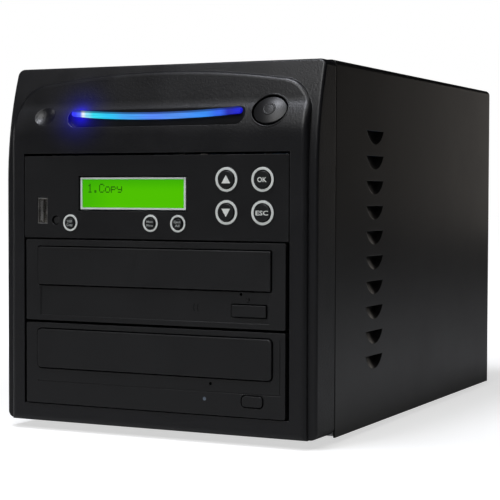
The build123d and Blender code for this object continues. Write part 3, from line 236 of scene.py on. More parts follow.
def makeDust():
    # settled dust: thin on faces that look up, broken by a slow noise
    tree, gin, gout = group("settledDust", [("Amount", "NodeSocketFloat", 0.3)],
                            [("Mask", "NodeSocketFloat")])
    geometry = node(tree, "NewGeometry")
    axes = node(tree, "SeparateXYZ", {"Vector": geometry.outputs["Normal"]})
    noise = node(tree, "TexNoise", {"Vector": objectPlace(tree)}, Scale=420.0, Detail=5.0, Roughness=0.7)
    facing = maths(tree, "POWER", maths(tree, "MAXIMUM", axes.outputs["Z"], 0.0), 3.0)
    broken = maths(tree, "MULTIPLY", facing, noise.outputs["Fac"])
    tree.links.new(maths(tree, "MULTIPLY", broken, gin.outputs["Amount"], clamp=True), gout.inputs["Mask"])
    return tree


grainGroup, edgeGroup, dustGroup = makeGrain(), makeEdges(), makeDust()


def useGroup(tree, made, **values):
    # the outputs of a group placed in a material, with these values on its inputs
    n = tree.nodes.new("ShaderNodeGroup")
    n.node_tree = made
    for key, value in values.items():
        n.inputs[key].default_value = value
    return n.outputs


def startMaterial(name):
    material = bpy.data.materials.new(name)
    material.use_nodes = True
    tree = material.node_tree
    return material, tree, tree.nodes["Principled BSDF"]


def paintedLouvreShade(tree, shader, look, colour):
    # painted shade in the pressed-in louvres: base colour and specular level fall with depth behind the side
    # wall
    low, high, left = look["louvreShade"]
    depth = maths(tree, "ABSOLUTE", objectAxes(tree)["X"])
    light = ranged(tree, depth, (low * mm, high * mm), (left, 1.0), smooth=True)
    feed(tree, shader.inputs, {"Base Color": mixed(tree, 1.0, colour, light, "MULTIPLY"),
                               "Specular IOR Level": maths(tree, "MULTIPLY", light, look["specular"])})


def paintedGlow(tree, shader, look):
    # painted glow: emission on the plastic that stands in for the light of the lamp behind the bar's end, as
    # it spreads in and over the plastic:
    # two bells over the distance from the lamp, exp(-(d / radius)^2)
    away = node(tree, "VectorMath", {0: objectPlace(tree)}, operation="DISTANCE")
    away.inputs[1].default_value = [c * mm for c in look["paintedGlow"]["place"]]
    bells = []
    for radius, level in look["paintedGlow"]["bells"]:
        ratio = maths(tree, "DIVIDE", away.outputs["Value"], radius * mm)
        bell = maths(tree, "EXPONENT", maths(tree, "MULTIPLY", maths(tree, "MULTIPLY", ratio, ratio), -1.0))
        bells.append(maths(tree, "MULTIPLY", bell, level))
    feed(tree, shader.inputs, {"Emission Strength": maths(tree, "ADD", *bells),
                               "Emission Color": look["paintedGlow"]["colour"]})


patching = {"colourBand": (0.35, 0.65), "roughBand": (0.3, 0.7), "dustColour": (0.16, 0.155, 0.15),
            "sharpness": 3.0}


def finish(name, look):
    # one finish: base colour lightened by patches, and along edges by wear and a painted edge highlight, dust
    # on top, grain as bump;
    # lengths in look are millimetres
    material, tree, shader = startMaterial(name)
    feed(tree, shader.inputs, {"Metallic": look.get("metal", 0.0), "IOR": look.get("ior", 1.5),
                               "Specular IOR Level": look.get("specular", 0.5)})
    grain = useGroup(tree, grainGroup, Fine=look["fine"], Coarse=look["coarse"])
    edges = useGroup(tree, edgeGroup, Radius=look["edge"] * mm, Sharpness=patching["sharpness"])
    patches = ranged(tree, grain["Patches"], patching["colourBand"], (0.0, 1.0))
    lighter = tuple(c * look.get("patch", 1.12) for c in look["colour"])
    # wear and painted highlight: colour lightened towards edgeColour along edges
    edgeWearAndHighlight = maths(tree, "MULTIPLY", edges["Edge"], look["edgeWearAndHighlight"])
    colour = mixed(tree, edgeWearAndHighlight, mixed(tree, patches, look["colour"], lighter), look["edgeColour"])
    if look.get("dust"):
        dust = useGroup(tree, dustGroup, Amount=look["dust"])
        colour = mixed(tree, dust["Mask"], colour, patching["dustColour"])
    rough, spread = look["rough"], look["roughSpread"]
    bump = node(tree, "Bump", {"Height": grain["Height"], "Normal": edges["Normal"]},
                Strength=look["bump"], Distance=look["depth"] * mm)
    feed(tree, shader.inputs, {
        "Base Color": colour, "Normal": bump.outputs["Normal"],
        "Roughness": ranged(tree, grain["Patches"], patching["roughBand"], (rough - spread, rough + spread))})
    # painted shade inside the cover's louvres
    if "louvreShade" in look:
        paintedLouvreShade(tree, shader, look, colour)
    if "paintedGlow" in look:
        paintedGlow(tree, shader, look)
    return material


plastic = {"ior": 1.49, "specular": 0.4}
looks = {
    "bezelPlasticPaintedGlow": dict(plastic, colour=(0.0052, 0.0052, 0.0060), edgeColour=(0.02, 0.02, 0.022),
                         rough=0.36, roughSpread=0.03, fine=1000.0, coarse=60.0, bump=0.9, depth=0.12,
                         edge=0.5, edgeWearAndHighlight=0.25, dust=0.05,
                         # painted glow: emission on the bezel around the bar's left end
                         paintedGlow={"place": (-43.5, -138.4, 161.4), "colour": (0.012, 0.006, 1.0),
                               "bells": [(4.2, 0.80), (10.0, 0.12)]}),
    "panelPlastic": dict(plastic, colour=(0.0048, 0.0048, 0.0053), edgeColour=(0.016, 0.016, 0.017),
                         rough=0.40, roughSpread=0.03, fine=1900.0, coarse=40.0, bump=0.12, depth=0.03,
                         edge=0.35, edgeWearAndHighlight=0.3, dust=0.04),
    "drivePlastic": dict(plastic, colour=(0.0056, 0.0056, 0.0060), edgeColour=(0.022, 0.022, 0.023),
                         rough=0.42, roughSpread=0.04, fine=1700.0, coarse=45.0, bump=0.16, depth=0.03,
                         edge=0.4, edgeWearAndHighlight=0.35, dust=0.05),
    # painted shade: darker, duller plastic for the embossed arcs on the upper drive
    "embossShadeMark": dict(plastic, colour=(0.0032, 0.0032, 0.0034), edgeColour=(0.01, 0.01, 0.01), rough=0.5,
                        roughSpread=0.03, fine=1700.0, coarse=45.0, bump=0.1, depth=0.02, edge=0.1,
                        edgeWearAndHighlight=0.2, specular=0.2),
    "trayPlastic": dict(plastic, colour=(0.012, 0.012, 0.013), edgeColour=(0.03, 0.03, 0.03), rough=0.4,
                        roughSpread=0.06, fine=1200.0, coarse=70.0, bump=0.18, depth=0.04, edge=0.4,
                        edgeWearAndHighlight=0.4, dust=0.05),
    "gearPlastic": dict(plastic, colour=(0.62, 0.60, 0.54), edgeColour=(0.72, 0.70, 0.64), rough=0.35,
                        roughSpread=0.05, fine=900.0, coarse=80.0, bump=0.1, depth=0.03, edge=0.2,
                        edgeWearAndHighlight=0.3),
    "keyPlastic": dict(plastic, colour=(0.0075, 0.0080, 0.0082), edgeColour=(0.03, 0.03, 0.03), rough=0.36,
                       roughSpread=0.03, fine=1800.0, coarse=120.0, bump=0.08, depth=0.02, edge=0.2,
                       edgeWearAndHighlight=0.2),
    "rockerPlastic": dict(plastic, colour=(0.010, 0.010, 0.011), edgeColour=(0.03, 0.03, 0.03), rough=0.18,
                          roughSpread=0.04, fine=1500.0, coarse=90.0, bump=0.04, depth=0.02, edge=0.3,
                          edgeWearAndHighlight=0.3, dust=0.05),
    "ringPlastic": dict(plastic, colour=(0.60, 0.625, 0.60), edgeColour=(0.66, 0.68, 0.65), rough=0.38,
                        roughSpread=0.04, fine=1500.0, coarse=160.0, bump=0.06, depth=0.02, edge=0.2,
                        edgeWearAndHighlight=0.3),
    "boardLacquer": dict(plastic, colour=(0.012, 0.075, 0.028), edgeColour=(0.16, 0.15, 0.08), rough=0.32,
                         roughSpread=0.08, fine=700.0, coarse=220.0, bump=0.12, depth=0.04, edge=0.3,
                         edgeWearAndHighlight=0.5),
    "switchPlastic": dict(plastic, colour=(0.014, 0.014, 0.014), edgeColour=(0.04, 0.04, 0.04), rough=0.4,
                          roughSpread=0.05, fine=1300.0, coarse=90.0, bump=0.1, depth=0.03, edge=0.25,
                          edgeWearAndHighlight=0.3),
    "coverPaintLouvreShade": dict(plastic, colour=(0.0058, 0.0056, 0.0056), edgeColour=(0.03, 0.029, 0.028), rough=0.31,
                       roughSpread=0.03, fine=750.0, coarse=25.0, bump=0.2, depth=0.04, edge=0.55,
                       # painted shade: colour and specular fall to half, deep in the louvres
                       edgeWearAndHighlight=0.35, dust=0.05, louvreShade=(85.6, 87.3, 0.5)),
    "darkLens": dict(plastic, colour=(0.006, 0.006, 0.0065), edgeColour=(0.02, 0.02, 0.02), rough=0.3,
                     roughSpread=0.03, fine=1500.0, coarse=200.0, bump=0.05, depth=0.02, edge=0.15,
                     edgeWearAndHighlight=0.3),
    "zincSteel": dict(colour=(0.46, 0.465, 0.47), edgeColour=(0.62, 0.62, 0.62), rough=0.36, metal=1.0,
                      roughSpread=0.08, fine=600.0, coarse=150.0, bump=0.12, depth=0.03, edge=0.3,
                      edgeWearAndHighlight=0.6, patch=1.18, dust=0.1),
    "nickelSteel": dict(colour=(0.60, 0.59, 0.57), edgeColour=(0.74, 0.73, 0.70), rough=0.22, metal=1.0,
                        roughSpread=0.05, fine=900.0, coarse=200.0, bump=0.06, depth=0.02, edge=0.15,
                        edgeWearAndHighlight=0.5, patch=1.08),
    "footRubber": dict(colour=(0.011, 0.011, 0.011), edgeColour=(0.03, 0.03, 0.03), rough=0.78,
                       roughSpread=0.06, fine=1100.0, coarse=120.0, bump=0.3, depth=0.05, edge=0.4,
                       edgeWearAndHighlight=0.4, dust=0.2, specular=0.35),
    "pickupMetal": dict(colour=(0.42, 0.42, 0.43), edgeColour=(0.6, 0.6, 0.6), rough=0.42, metal=1.0,
                        roughSpread=0.08, fine=900.0, coarse=160.0, bump=0.18, depth=0.04, edge=0.3,
                        edgeWearAndHighlight=0.5),
    "lightPipe": dict(plastic, colour=(0.10, 0.125, 0.155), edgeColour=(0.16, 0.18, 0.2), rough=0.3,
                      roughSpread=0.04, fine=1500.0, coarse=200.0, bump=0.05, depth=0.02, edge=0.15,
                      edgeWearAndHighlight=0.3),
    "printWhite": dict(plastic, colour=(0.66, 0.68, 0.65), edgeColour=(0.70, 0.72, 0.69), rough=0.5,
                       roughSpread=0.04, fine=2500.0, coarse=300.0, bump=0.05, depth=0.01, edge=0.05,
                       edgeWearAndHighlight=0.2),
    "printGrey": dict(plastic, colour=(0.36, 0.38, 0.37), edgeColour=(0.4, 0.41, 0.4), rough=0.5,
                      roughSpread=0.04, fine=2500.0, coarse=300.0, bump=0.05, depth=0.01, edge=0.05,
                      edgeWearAndHighlight=0.2),
    "displayFrame": dict(plastic, colour=(0.60, 0.64, 0.62), edgeColour=(0.66, 0.7, 0.68), rough=0.4,
                         roughSpread=0.03, fine=1500.0, coarse=200.0, bump=0.04, depth=0.02, edge=0.1,
                         edgeWearAndHighlight=0.2),
}
made = {name: finish(name, look) for name, look in looks.items()}


# lit display: even green, a little darker to the left and top, faint dot cells

display = {"left": -40.2, "high": 128.6, "deep": (0.040, 0.395, 0.002), "lit": (0.078, 0.520, 0.0004),
           "fadeLeft": 20.0, "leftLight": 0.45, "fadeTop": 7.5, "pastTop": 1.0, "topLight": 0.15,
           "cell": 0.62, "cellPower": 0.35, "cellDark": 0.95, "base": (0.002, 0.008, 0.0005), "rough": 0.16,
           "specular": 0.03}


def makeDisplayGlass():
    material, tree, shader = startMaterial("displayGlass")
    axes = objectAxes(tree)
    left, top = display["left"] * mm, (display["high"] + display["pastTop"]) * mm
    across = ranged(tree, axes["X"], (left, left + display["fadeLeft"] * mm), (display["leftLight"], 1.0),
                    smooth=True)
    down = ranged(tree, axes["Z"], (top - display["fadeTop"] * mm, top), (1.0, display["topLight"]),
                  smooth=True)
    cells = []
    for axis in "XZ":
        # narrow dark lines between the unlit dots: |sin| of the place, raised to a power
        wave = maths(tree, "SINE", maths(tree, "MULTIPLY", axes[axis], math.pi / (display["cell"] * mm)))
        cells.append(maths(tree, "POWER", maths(tree, "ABSOLUTE", wave), display["cellPower"]))
    dots = ranged(tree, maths(tree, "MULTIPLY", *cells), (0.0, 1.0), (display["cellDark"], 1.0))
    light = maths(tree, "MULTIPLY", maths(tree, "MULTIPLY", across, down), dots)
    feed(tree, shader.inputs, {
        "Emission Color": mixed(tree, light, display["deep"], display["lit"]), "Emission Strength": 1.0,
        "Base Color": display["base"], "Roughness": display["rough"],
        "Specular IOR Level": display["specular"]})
    return material


made["displayGlass"] = makeDisplayGlass()


# light bar: colour runs from a white spot over the lamp to azure, then deep blue

bar = {"half": 46.0, "middle": 159.5, "rise": 1.9, "core": (0.95, 1.65), "rim": 0.30,
       "streak": (60.0, 1.0, 2600.0), "streakBand": (0.35, 0.65), "streakLow": 0.72,
       "base": (0.02, 0.03, 0.12), "rough": 0.25,
       "stops": [(0.000, (0.03, 0.03, 1.0)), (0.035, (0.10, 0.16, 1.0)), (0.056, (0.90, 0.97, 1.0)),
                 (0.078, (0.30, 0.86, 1.0)), (0.125, (0.03, 0.82, 0.92)), (0.22, (0.02, 0.62, 0.95)),
                 (0.33, (0.06, 0.40, 0.94)), (0.50, (0.10, 0.27, 0.98)), (0.62, (0.09, 0.30, 0.90)),
                 (0.80, (0.04, 0.30, 0.98)), (0.89, (0.03, 0.14, 0.90)), (0.95, (0.012, 0.01, 0.42)),
                 (1.000, (0.008, 0.006, 0.62))]}


def makeLightBar():
    material, tree, shader = startMaterial("litGuide")
    axes = objectAxes(tree)
    half = bar["half"] * mm
    ramp = node(tree, "ValToRGB", {"Fac": ranged(tree, axes["X"], (-half, half), (0.0, 1.0))})
    colours = ramp.color_ramp
    colours.interpolation = "EASE"
    while len(colours.elements) < len(bar["stops"]):
        colours.elements.new(0.5)
    for element, (position, colour) in zip(colours.elements, bar["stops"]):
        element.position, element.color = position, (*colour, 1)
    # the core is brightest: height off the bar's own arc, middle + rise (x / half)^2, dims it,
    # and a noise drawn out along the bar gives its faint streaks
    ratio = maths(tree, "DIVIDE", axes["X"], half)
    arc = maths(tree, "MULTIPLY", maths(tree, "MULTIPLY", ratio, ratio), bar["rise"] * mm)
    height = maths(tree, "SUBTRACT", maths(tree, "SUBTRACT", axes["Z"], arc), bar["middle"] * mm)
    core = ranged(tree, maths(tree, "ABSOLUTE", height), [c * mm for c in bar["core"]], (1.0, bar["rim"]),
                  smooth=True)
    drawn = node(tree, "VectorMath", {0: objectPlace(tree)}, operation="MULTIPLY")
    drawn.inputs[1].default_value = bar["streak"]
    noise = node(tree, "TexNoise", {"Vector": drawn.outputs["Vector"]}, Scale=1.0, Detail=3.0)
    streaks = ranged(tree, noise.outputs["Fac"], bar["streakBand"], (bar["streakLow"], 1.0))
    feed(tree, shader.inputs, {
        "Emission Color": ramp.outputs["Color"], "Emission Strength": maths(tree, "MULTIPLY", core, streaks),
        "Base Color": bar["base"], "Roughness": bar["rough"]})
    return material


made["litGuide"] = makeLightBar()


# unlit dots of the display: deep green ink that barely shines

ink = {"Base Color": (0.002, 0.008, 0.001), "Emission Color": (0.008, 0.060, 0.002),
       "Emission Strength": 1.0, "Roughness": 0.4, "Specular IOR Level": 0.05}


def makeInk():
    material, tree, shader = startMaterial("displayInk")
    feed(tree, shader.inputs, ink)
    return material


made["displayInk"] = makeInk()
print("materials made:", len(made))


# finishes of the CAD nodes that stay

wears = {
    "bezelPlasticPaintedGlow": ["front_bezel"],
    "panelPlastic": ["panel_fascia", "power_button", "rocker_housing", "key_rings"],
    "drivePlastic": ["drive_1_fascia", "drive_2_fascia", "drive_1_door", "drive_2_door",
                     "drive_1_eject_button", "drive_2_eject_button"],
    "trayPlastic": ["drive_1_tray", "drive_2_tray", "drive_1_loader", "drive_2_loader", "case_fan_frame",
                    "psu_fan_frame", "power_inlet"],
    "gearPlastic": ["drive_1_tray_gear", "drive_2_tray_gear"],
    "keyPlastic": ["up_button", "ok_button", "down_button", "esc_button", "usb_copy_button", "menu_button",
                   "eject_all_button"],
    "rockerPlastic": ["rocker_switch"],
    "displayFrame": ["lcd_module"],
    "displayGlass": ["lcd_window"],
    "litGuide": ["light_bar"],
    "boardLacquer": ["light_board", "controller_board"],
    "switchPlastic": ["power_switch", "key_switches", "status_led"],
    "coverPaintLouvreShade": ["cover"],
    "zincSteel": ["chassis_base", "chassis_front", "rear_panel", "drive_cage", "panel_bracket", "psu_case",
                  "drive_1_casing", "drive_2_casing"],
    "nickelSteel": ["usb_port"],
    "footRubber": ["feet"],
    "lightPipe": ["drive_2_light"],
    "darkLens": ["drive_1_light"],
    "pickupMetal": ["drive_1_pickup", "drive_2_pickup", "drive_1_turntable", "drive_2_turntable"],
}
for name, dressed in wears.items():
    for cadNode in dressed:
        for materialSlot in nodes[cadNode].material_slots:
            materialSlot.material = made[name]
print("nodes dressed:", sum(len(v) for v in wears.values()))


# words and signs on the keys

keySigns = {
    "up_button": {"x": 41.5, "z": 128.4, "up": 1},
    "down_button": {"x": 41.5, "z": 112.5, "up": -1},
    "ok_button": {"x": 60.7, "z": 128.4, "lines": ["OK"], "width": 4.9, "height": 2.35, "bold": 0.02},
    "esc_button": {"x": 60.7, "z": 112.5, "lines": ["ESC"], "width": 6.6, "height": 2.25, "bold": 0.016},
    "usb_copy_button": {"x": -46.8, "z": 106.6, "lines": ["USB", "Copy"], "width": 3.5, "height": 1.3,
                        "bold": 0.008},
    "menu_button": {"x": -0.4, "z": 106.8, "lines": ["Main", "Menu"], "width": 3.6, "height": 1.25,
                    "bold": 0.008},
    "eject_all_button": {"x": 15.0, "z": 106.8, "lines": ["Eject", "All"], "width": 3.7, "height": 1.3,
                         "bold": 0.008},
}
lettering = {"front": bay["front"] - 0.9, "lift": 0.03, "capShare": 0.729, "curveSteps": 3, "lineStep": 1.42,
             "narrowing": 0.75, "arrow": [(-2.35, -1.85), (2.35, -1.85), (0.0, 2.15)]}


def words(name, text, width, height, spot, material, body, bold):
    # text as a flat mesh on a face that looks to -Y, scaled to a width and a cap height
    curve = bpy.data.curves.new(name, "FONT")
    curve.body, curve.align_x, curve.size = text, "CENTER", 1.0
    curve.offset, curve.resolution_u = bold, lettering["curveSteps"]
    source = bpy.data.objects.new(name + "Curve", curve)
    bpy.context.scene.collection.objects.link(source)
    bpy.context.view_layer.update()
    mesh = bpy.data.meshes.new_from_object(source)
    flat = np.zeros(len(mesh.vertices) * 3)
    mesh.vertices.foreach_get("co", flat)
    flat = flat.reshape(-1, 3)
    bpy.data.objects.remove(source)
    low, high = flat.min(0), flat.max(0)
    x, z = spot
    points = np.empty_like(flat)
    points[:, 0] = x + (flat[:, 0] - (low[0] + high[0]) / 2) * width / (high[0] - low[0])
    points[:, 1] = lettering["front"] - lettering["lift"]
    points[:, 2] = z + flat[:, 1] * height / lettering["capShare"] - height / 2
    mesh.vertices.foreach_set("co", (points * mm).ravel())
    mesh.materials.clear()
    mesh.materials.append(material)
    mesh.update()
    piece = bpy.data.objects.new(name, mesh)
    bpy.context.scene.collection.objects.link(piece)
    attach(piece, body)


def makeSigns():
    front = lettering["front"] - lettering["lift"]
    for key, sign in keySigns.items():
        if "up" in sign:
            corners = np.array(lettering["arrow"]) * (1, sign["up"])
            points = [(sign["x"] + u, front, sign["z"] + v) for u, v in corners]
            newPiece(key + "Sign", points, [[0, 1, 2][::sign["up"]]], made["printWhite"], key, smooth=False)
            continue
        rows = sign["lines"]
        widest = max(len(row) for row in rows)
        letterLook = made["printWhite" if len(rows) == 1 else "printGrey"]
        for k, row in enumerate(rows):
            width = sign["width"] * (len(row) / widest) ** lettering["narrowing"]
            z = sign["z"] + ((len(rows) - 1) / 2 - k) * sign["height"] * lettering["lineStep"]
            words(f"{key}Word{k}", row, width, sign["height"], (sign["x"], z), letterLook, key, sign["bold"])


makeSigns()


# pale bands on the key rims: a flat ring with eased edges, turned about each key's own axis

keyBand = {"front": bay["front"] - 0.28, "high": 0.14, "ease": 0.14, "low": -0.1, "steps": 64,
           "large": (4.62, 5.92), "small": (3.2, 4.25), "largeAbove": 20.0}


def bandShape(inner, outer):
    ease, high = keyBand["ease"], keyBand["high"]
    section = np.array([(inner, 0.0), (inner + ease, high), (outer - ease, high), (outer, 0.0),
                        (outer, keyBand["low"]), (inner, keyBand["low"])])
    angle = np.linspace(0, 2 * np.pi, keyBand["steps"], endpoint=False)[None, :]
    radius, height = section[:, :1] + 0 * angle, section[:, 1:] + 0 * angle
    points = np.stack([radius * np.cos(angle), radius * np.sin(angle), height], -1).reshape(-1, 3)
    return points, gridFaces(len(section), keyBand["steps"], closeRows=True, closeColumns=True)[:, ::-1]


def makeBands():
    bands = []
    for sign in keySigns.values():
        size = "large" if sign["x"] > keyBand["largeAbove"] else "small"
        bands.append(aimed(bandShape(*keyBand[size]), (sign["x"], keyBand["front"], sign["z"]), towardsFront))
    points, faces = joined(bands)
    newPiece("keyBands", points, faces, made["ringPlastic"], "housing", crease=30)


makeBands()
print("key signs and bands done")


# dot-matrix message on the display

message = {
    "left": -37.0, "top": 126.05, "dot": 0.56, "gapX": 0.065, "gapZ": 0.09, "cellStep": 3.42,
    "front": -140.37, "text": "1.Copy",
    "glyphs": {
        "1": ["..#..", ".##..", "..#..", "..#..", "..#..", "..#..", ".###."],
        ".": [".....", ".....", ".....", ".....", ".....", ".##..", ".##.."],
        "C": [".###.", "#...#", "#....", "#....", "#....", "#...#", ".###."],
        "o": [".....", ".....", ".###.", "#...#", "#...#", "#...#", ".###."],
        "p": [".....", ".....", "####.", "#...#", "####.", "#....", "#...."],
        "y": [".....", ".....", "#...#", "#...#", ".####", "....#", ".###."],
    },
}


def makeMessage():
    # square dots of a 5 x 7 matrix, one quad each, a hair in front of the glass
    corners = []
    for number, letter in enumerate(message["text"]):
        lit = np.array([[c == "#" for c in row] for row in message["glyphs"][letter]])
        row, column = np.nonzero(lit)
        x = message["left"] + number * message["cellStep"] + column * (message["dot"] + message["gapX"])
        z = message["top"] - row * (message["dot"] + message["gapZ"])
        corners.append(np.stack([x, z], 1))
    spot = np.concatenate(corners)
    half = message["dot"] / 2
    square = np.array([(-half, -half), (half, -half), (half, half), (-half, half)])
    quads = spot[:, None, :] + square[None]
    points = np.stack([quads[..., 0], np.full(quads.shape[:2], message["front"]), quads[..., 1]], -1)
    faces = np.arange(len(spot) * 4).reshape(-1, 4)
    newPiece("displayMessage", points.reshape(-1, 3), faces, made["displayInk"], "housing", smooth=False)


makeMessage()
print("display message done")


# screws: pan heads with a cross recess, knurled thumbscrews with a slot

panHead = {"radius": 2.8, "height": 1.8, "fall": 0.055, "shank": 1.4, "length": 5.0, "arm": 0.42,
           "reach": 1.55, "ramp": 0.5, "deep": 1.0, "above": 0.5, "steps": 40,
           "domeRadii": (0.0, 0.3, 0.42, 0.5, 0.7, 0.9, 1.1, 1.3, 1.55, 1.8, 2.1, 2.35),
           "rim": [(0.22, 1.33), (0.06, 1.1), (0.0, 0.8), (0.0, 0.12), (0.1, 0.0)]}
screws = {
    "side": {"x": 74.3,
             "places": [(-81.25, 24.2), (-81.25, 66.8), (-2.25, 24.2), (-2.25, 66.8), (-81.25, 118.9)]},
    "supply": {"x": 69.0, "y": rear["panel"], "heights": (104.9, 178.9)},
    "caseFan": {"y": 138.15, "middle": (0.0, 50.0)},
    "supplyFan": {"y": 136.95, "middle": (-22.0, 141.9)},
}
fanCorner = 35.75


def crossDent(radius, height, angle):
    # two crossed arms, |u| under the arm's half width and |v| under its reach, sunk into the top
    u, v = np.abs(radius * np.cos(angle)), np.abs(radius * np.sin(angle))
    across, along = np.minimum(u, v), np.maximum(u, v)
    slope = np.clip((panHead["reach"] - along) / panHead["ramp"], 0, 1)
    inside = (across < panHead["arm"]) & (height > panHead["above"])
    return radius, height - inside * panHead["deep"] * slope


def screwShape():
    # the head's top falls off as the square of the radius; rim holds (inset, height) pairs
    r, h = panHead["radius"], panHead["height"]
    dome = [(q, h - panHead["fall"] * q * q) for q in panHead["domeRadii"]]
    rim = [(r - inset, height) for inset, height in panHead["rim"]]
    shank = [(panHead["shank"], 0.0), (panHead["shank"], -panHead["length"]), (0.0, -panHead["length"])]
    return turned(dome + rim + shank, panHead["steps"], crossDent)


def fanCorners(middle):
    return [(middle[0] + i * fanCorner, middle[1] + j * fanCorner) for i in (-1, 1) for j in (-1, 1)]


def makeScrews():
    shape = screwShape()
    supply = screws["supply"]
    heads = [aimed(shape, (side * screws["side"]["x"], y, z), towardsRight if side > 0 else towardsLeft)
             for side in (-1, 1) for y, z in screws["side"]["places"]]
    heads += [aimed(shape, (side * supply["x"], supply["y"], z), towardsRear)
              for side in (-1, 1) for z in supply["heights"]]
    for name in ("caseFan", "supplyFan"):
        heads += [aimed(shape, (x, screws[name]["y"], z), towardsRear)
                  for x, z in fanCorners(screws[name]["middle"])]
    points, faces = joined(heads)
    piece = newPiece("panScrews", points, faces, made["nickelSteel"], "housing", crease=38)
    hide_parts("machine_screws")


thumb = {"x": 81.1, "heights": (25.02, 94.75, 164.48), "radius": 4.5, "length": 5.0, "knurls": 30,
         "ridge": 0.2, "squareness": 2.5, "rimRadius": 4.0, "rimLow": 1.3, "rimHigh": 4.75, "slot": 0.55,
         "slotDeep": 1.1, "slotAbove": 4.2, "shank": 1.4, "inside": 4.7, "steps": 120,
         "topRadii": (0.0, 0.4, 0.7, 1.0, 1.5, 2.1, 2.8, 3.4, 3.8),
         "side": [(0.25, 4.8), (0.0, 4.45), (0.0, 3.4), (0.0, 1.6), (0.3, 1.25), (1.3, 1.1), (1.3, 0.0)]}


def knurl(radius, height, angle):
    # the rim swells in square-topped waves; a slot is sunk straight across the top
    wave = np.clip(np.sin(thumb["knurls"] * angle) * thumb["squareness"], -1, 1) - 1
    rim = (radius > thumb["rimRadius"]) & (height > thumb["rimLow"]) & (height < thumb["rimHigh"])
    slotted = (np.abs(radius * np.sin(angle)) < thumb["slot"]) & (height > thumb["slotAbove"])
    return radius + rim * wave * thumb["ridge"] / 2, height - slotted * thumb["slotDeep"]


def makeThumbscrews():
    top = [(q, thumb["length"]) for q in thumb["topRadii"]]
    side = [(thumb["radius"] - inset, height) for inset, height in thumb["side"]]
    shank = [(thumb["shank"], 0.0), (thumb["shank"], -thumb["inside"]), (0.0, -thumb["inside"])]
    shape = turned(top + side + shank, thumb["steps"], knurl)
    points, faces = joined([aimed(shape, (way * thumb["x"], rear["cover"], z), towardsRear)
                            for way in (-1, 1) for z in thumb["heights"]])
    piece = newPiece("thumbScrews", points, faces, made["nickelSteel"], "housing", crease=38)
    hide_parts("cover_screws")


makeScrews()
makeThumbscrews()
print("screws done")


# finger guards of round wire: rings on two crossed bars that end in eyelets

guard = {"rings": 4, "pitch": 8.75, "wire": 0.62, "sides": 8, "ringSteps": 36, "moreSteps": 16,
         "eyelet": 2.75, "eyeletSteps": 28, "barSteps": 41, "barLift": 0.16, "dipStart": 0.8,
         "dipLength": 0.15,
         "fans": {"caseFanGuard": {"node": "case_fan_guard", "middle": (0.0, 50.0), "y": rear["panel"]},
                  "psuFanGuard": {"node": "psu_fan_guard", "middle": (-22.0, 141.9), "y": rear["psu"]}}}


def ringWire(radius, steps, centre=(0.0, 0.0)):
    angle = np.linspace(0, 2 * np.pi, steps, endpoint=False)
    path = np.stack([centre[0] + radius * np.cos(angle), centre[1] + radius * np.sin(angle),
                     np.full(steps, guard["wire"])], 1)
    return wire(path, guard["wire"], guard["sides"], closed=True)


def barWire(i, j):
    # a bar runs from eyelet to eyelet and dips by a wire's width where it leaves the rings
    along = np.linspace(-1, 1, guard["barSteps"])[:, None]
    reach = fanCorner - guard["eyelet"] / math.sqrt(2)
    dip = np.clip((np.abs(along) - guard["dipStart"]) / guard["dipLength"], 0, 1)
    lift = guard["wire"] + guard["barLift"] * (1 - dip)
    path = np.concatenate([along * np.array([[i * reach, j * reach]]), lift], 1)
    return wire(path, guard["wire"], guard["sides"])


def guardShape():
    parts = [ringWire(k * guard["pitch"], guard["ringSteps"] + guard["moreSteps"] * k)
             for k in range(1, guard["rings"] + 1)]
    parts += [barWire(1, 1), barWire(1, -1)]
    parts += [ringWire(guard["eyelet"], guard["eyeletSteps"], corner) for corner in fanCorners((0.0, 0.0))]
    return joined(parts)


def makeGuards():
    for name, fan in guard["fans"].items():
        points, faces = aimed(guardShape(), (fan["middle"][0], fan["y"], fan["middle"][1]), towardsRear)
        piece = newPiece(name, points, faces, made["nickelSteel"], "housing")
        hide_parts(fan["node"])


makeGuards()
print("finger guards done")


# fan rotors: a cupped hub and swept, cambered blades

rotor = {"hub": 17.0, "tip": 37.1, "root": 0.6, "low": -18.3, "high": 0.0, "margin": 3.0, "blades": 7,
         "sweep": 24.0, "spanHub": 46.0, "spanTip": 34.0, "thick": 1.5, "pitchHub": 0.46, "pitchLoss": 0.08,
         "camber": 1.6, "edgeThin": 0.02, "rows": 12, "bore": 1.5, "steps": 64,
         "outside": [(1.6, -0.5), (2.2, -0.5), (2.5, -0.05), (3.0, 0.0), (9.0, 0.0), (15.2, 0.0),
                     (16.0, -0.15), (16.7, -0.8), (17.0, -1.6)],
         "skin": 1.6, "roof": 1.8, "collar": 2.4, "collarDeep": 2.4, "pin": 2.0,
         "fans": {"caseRotor": {"node": "case_fan_rotor", "middle": (0.0, 50.0), "y": 133.05},
                  "psuRotor": {"node": "psu_fan_rotor", "middle": (-22.0, 141.9), "y": 132.05}}}


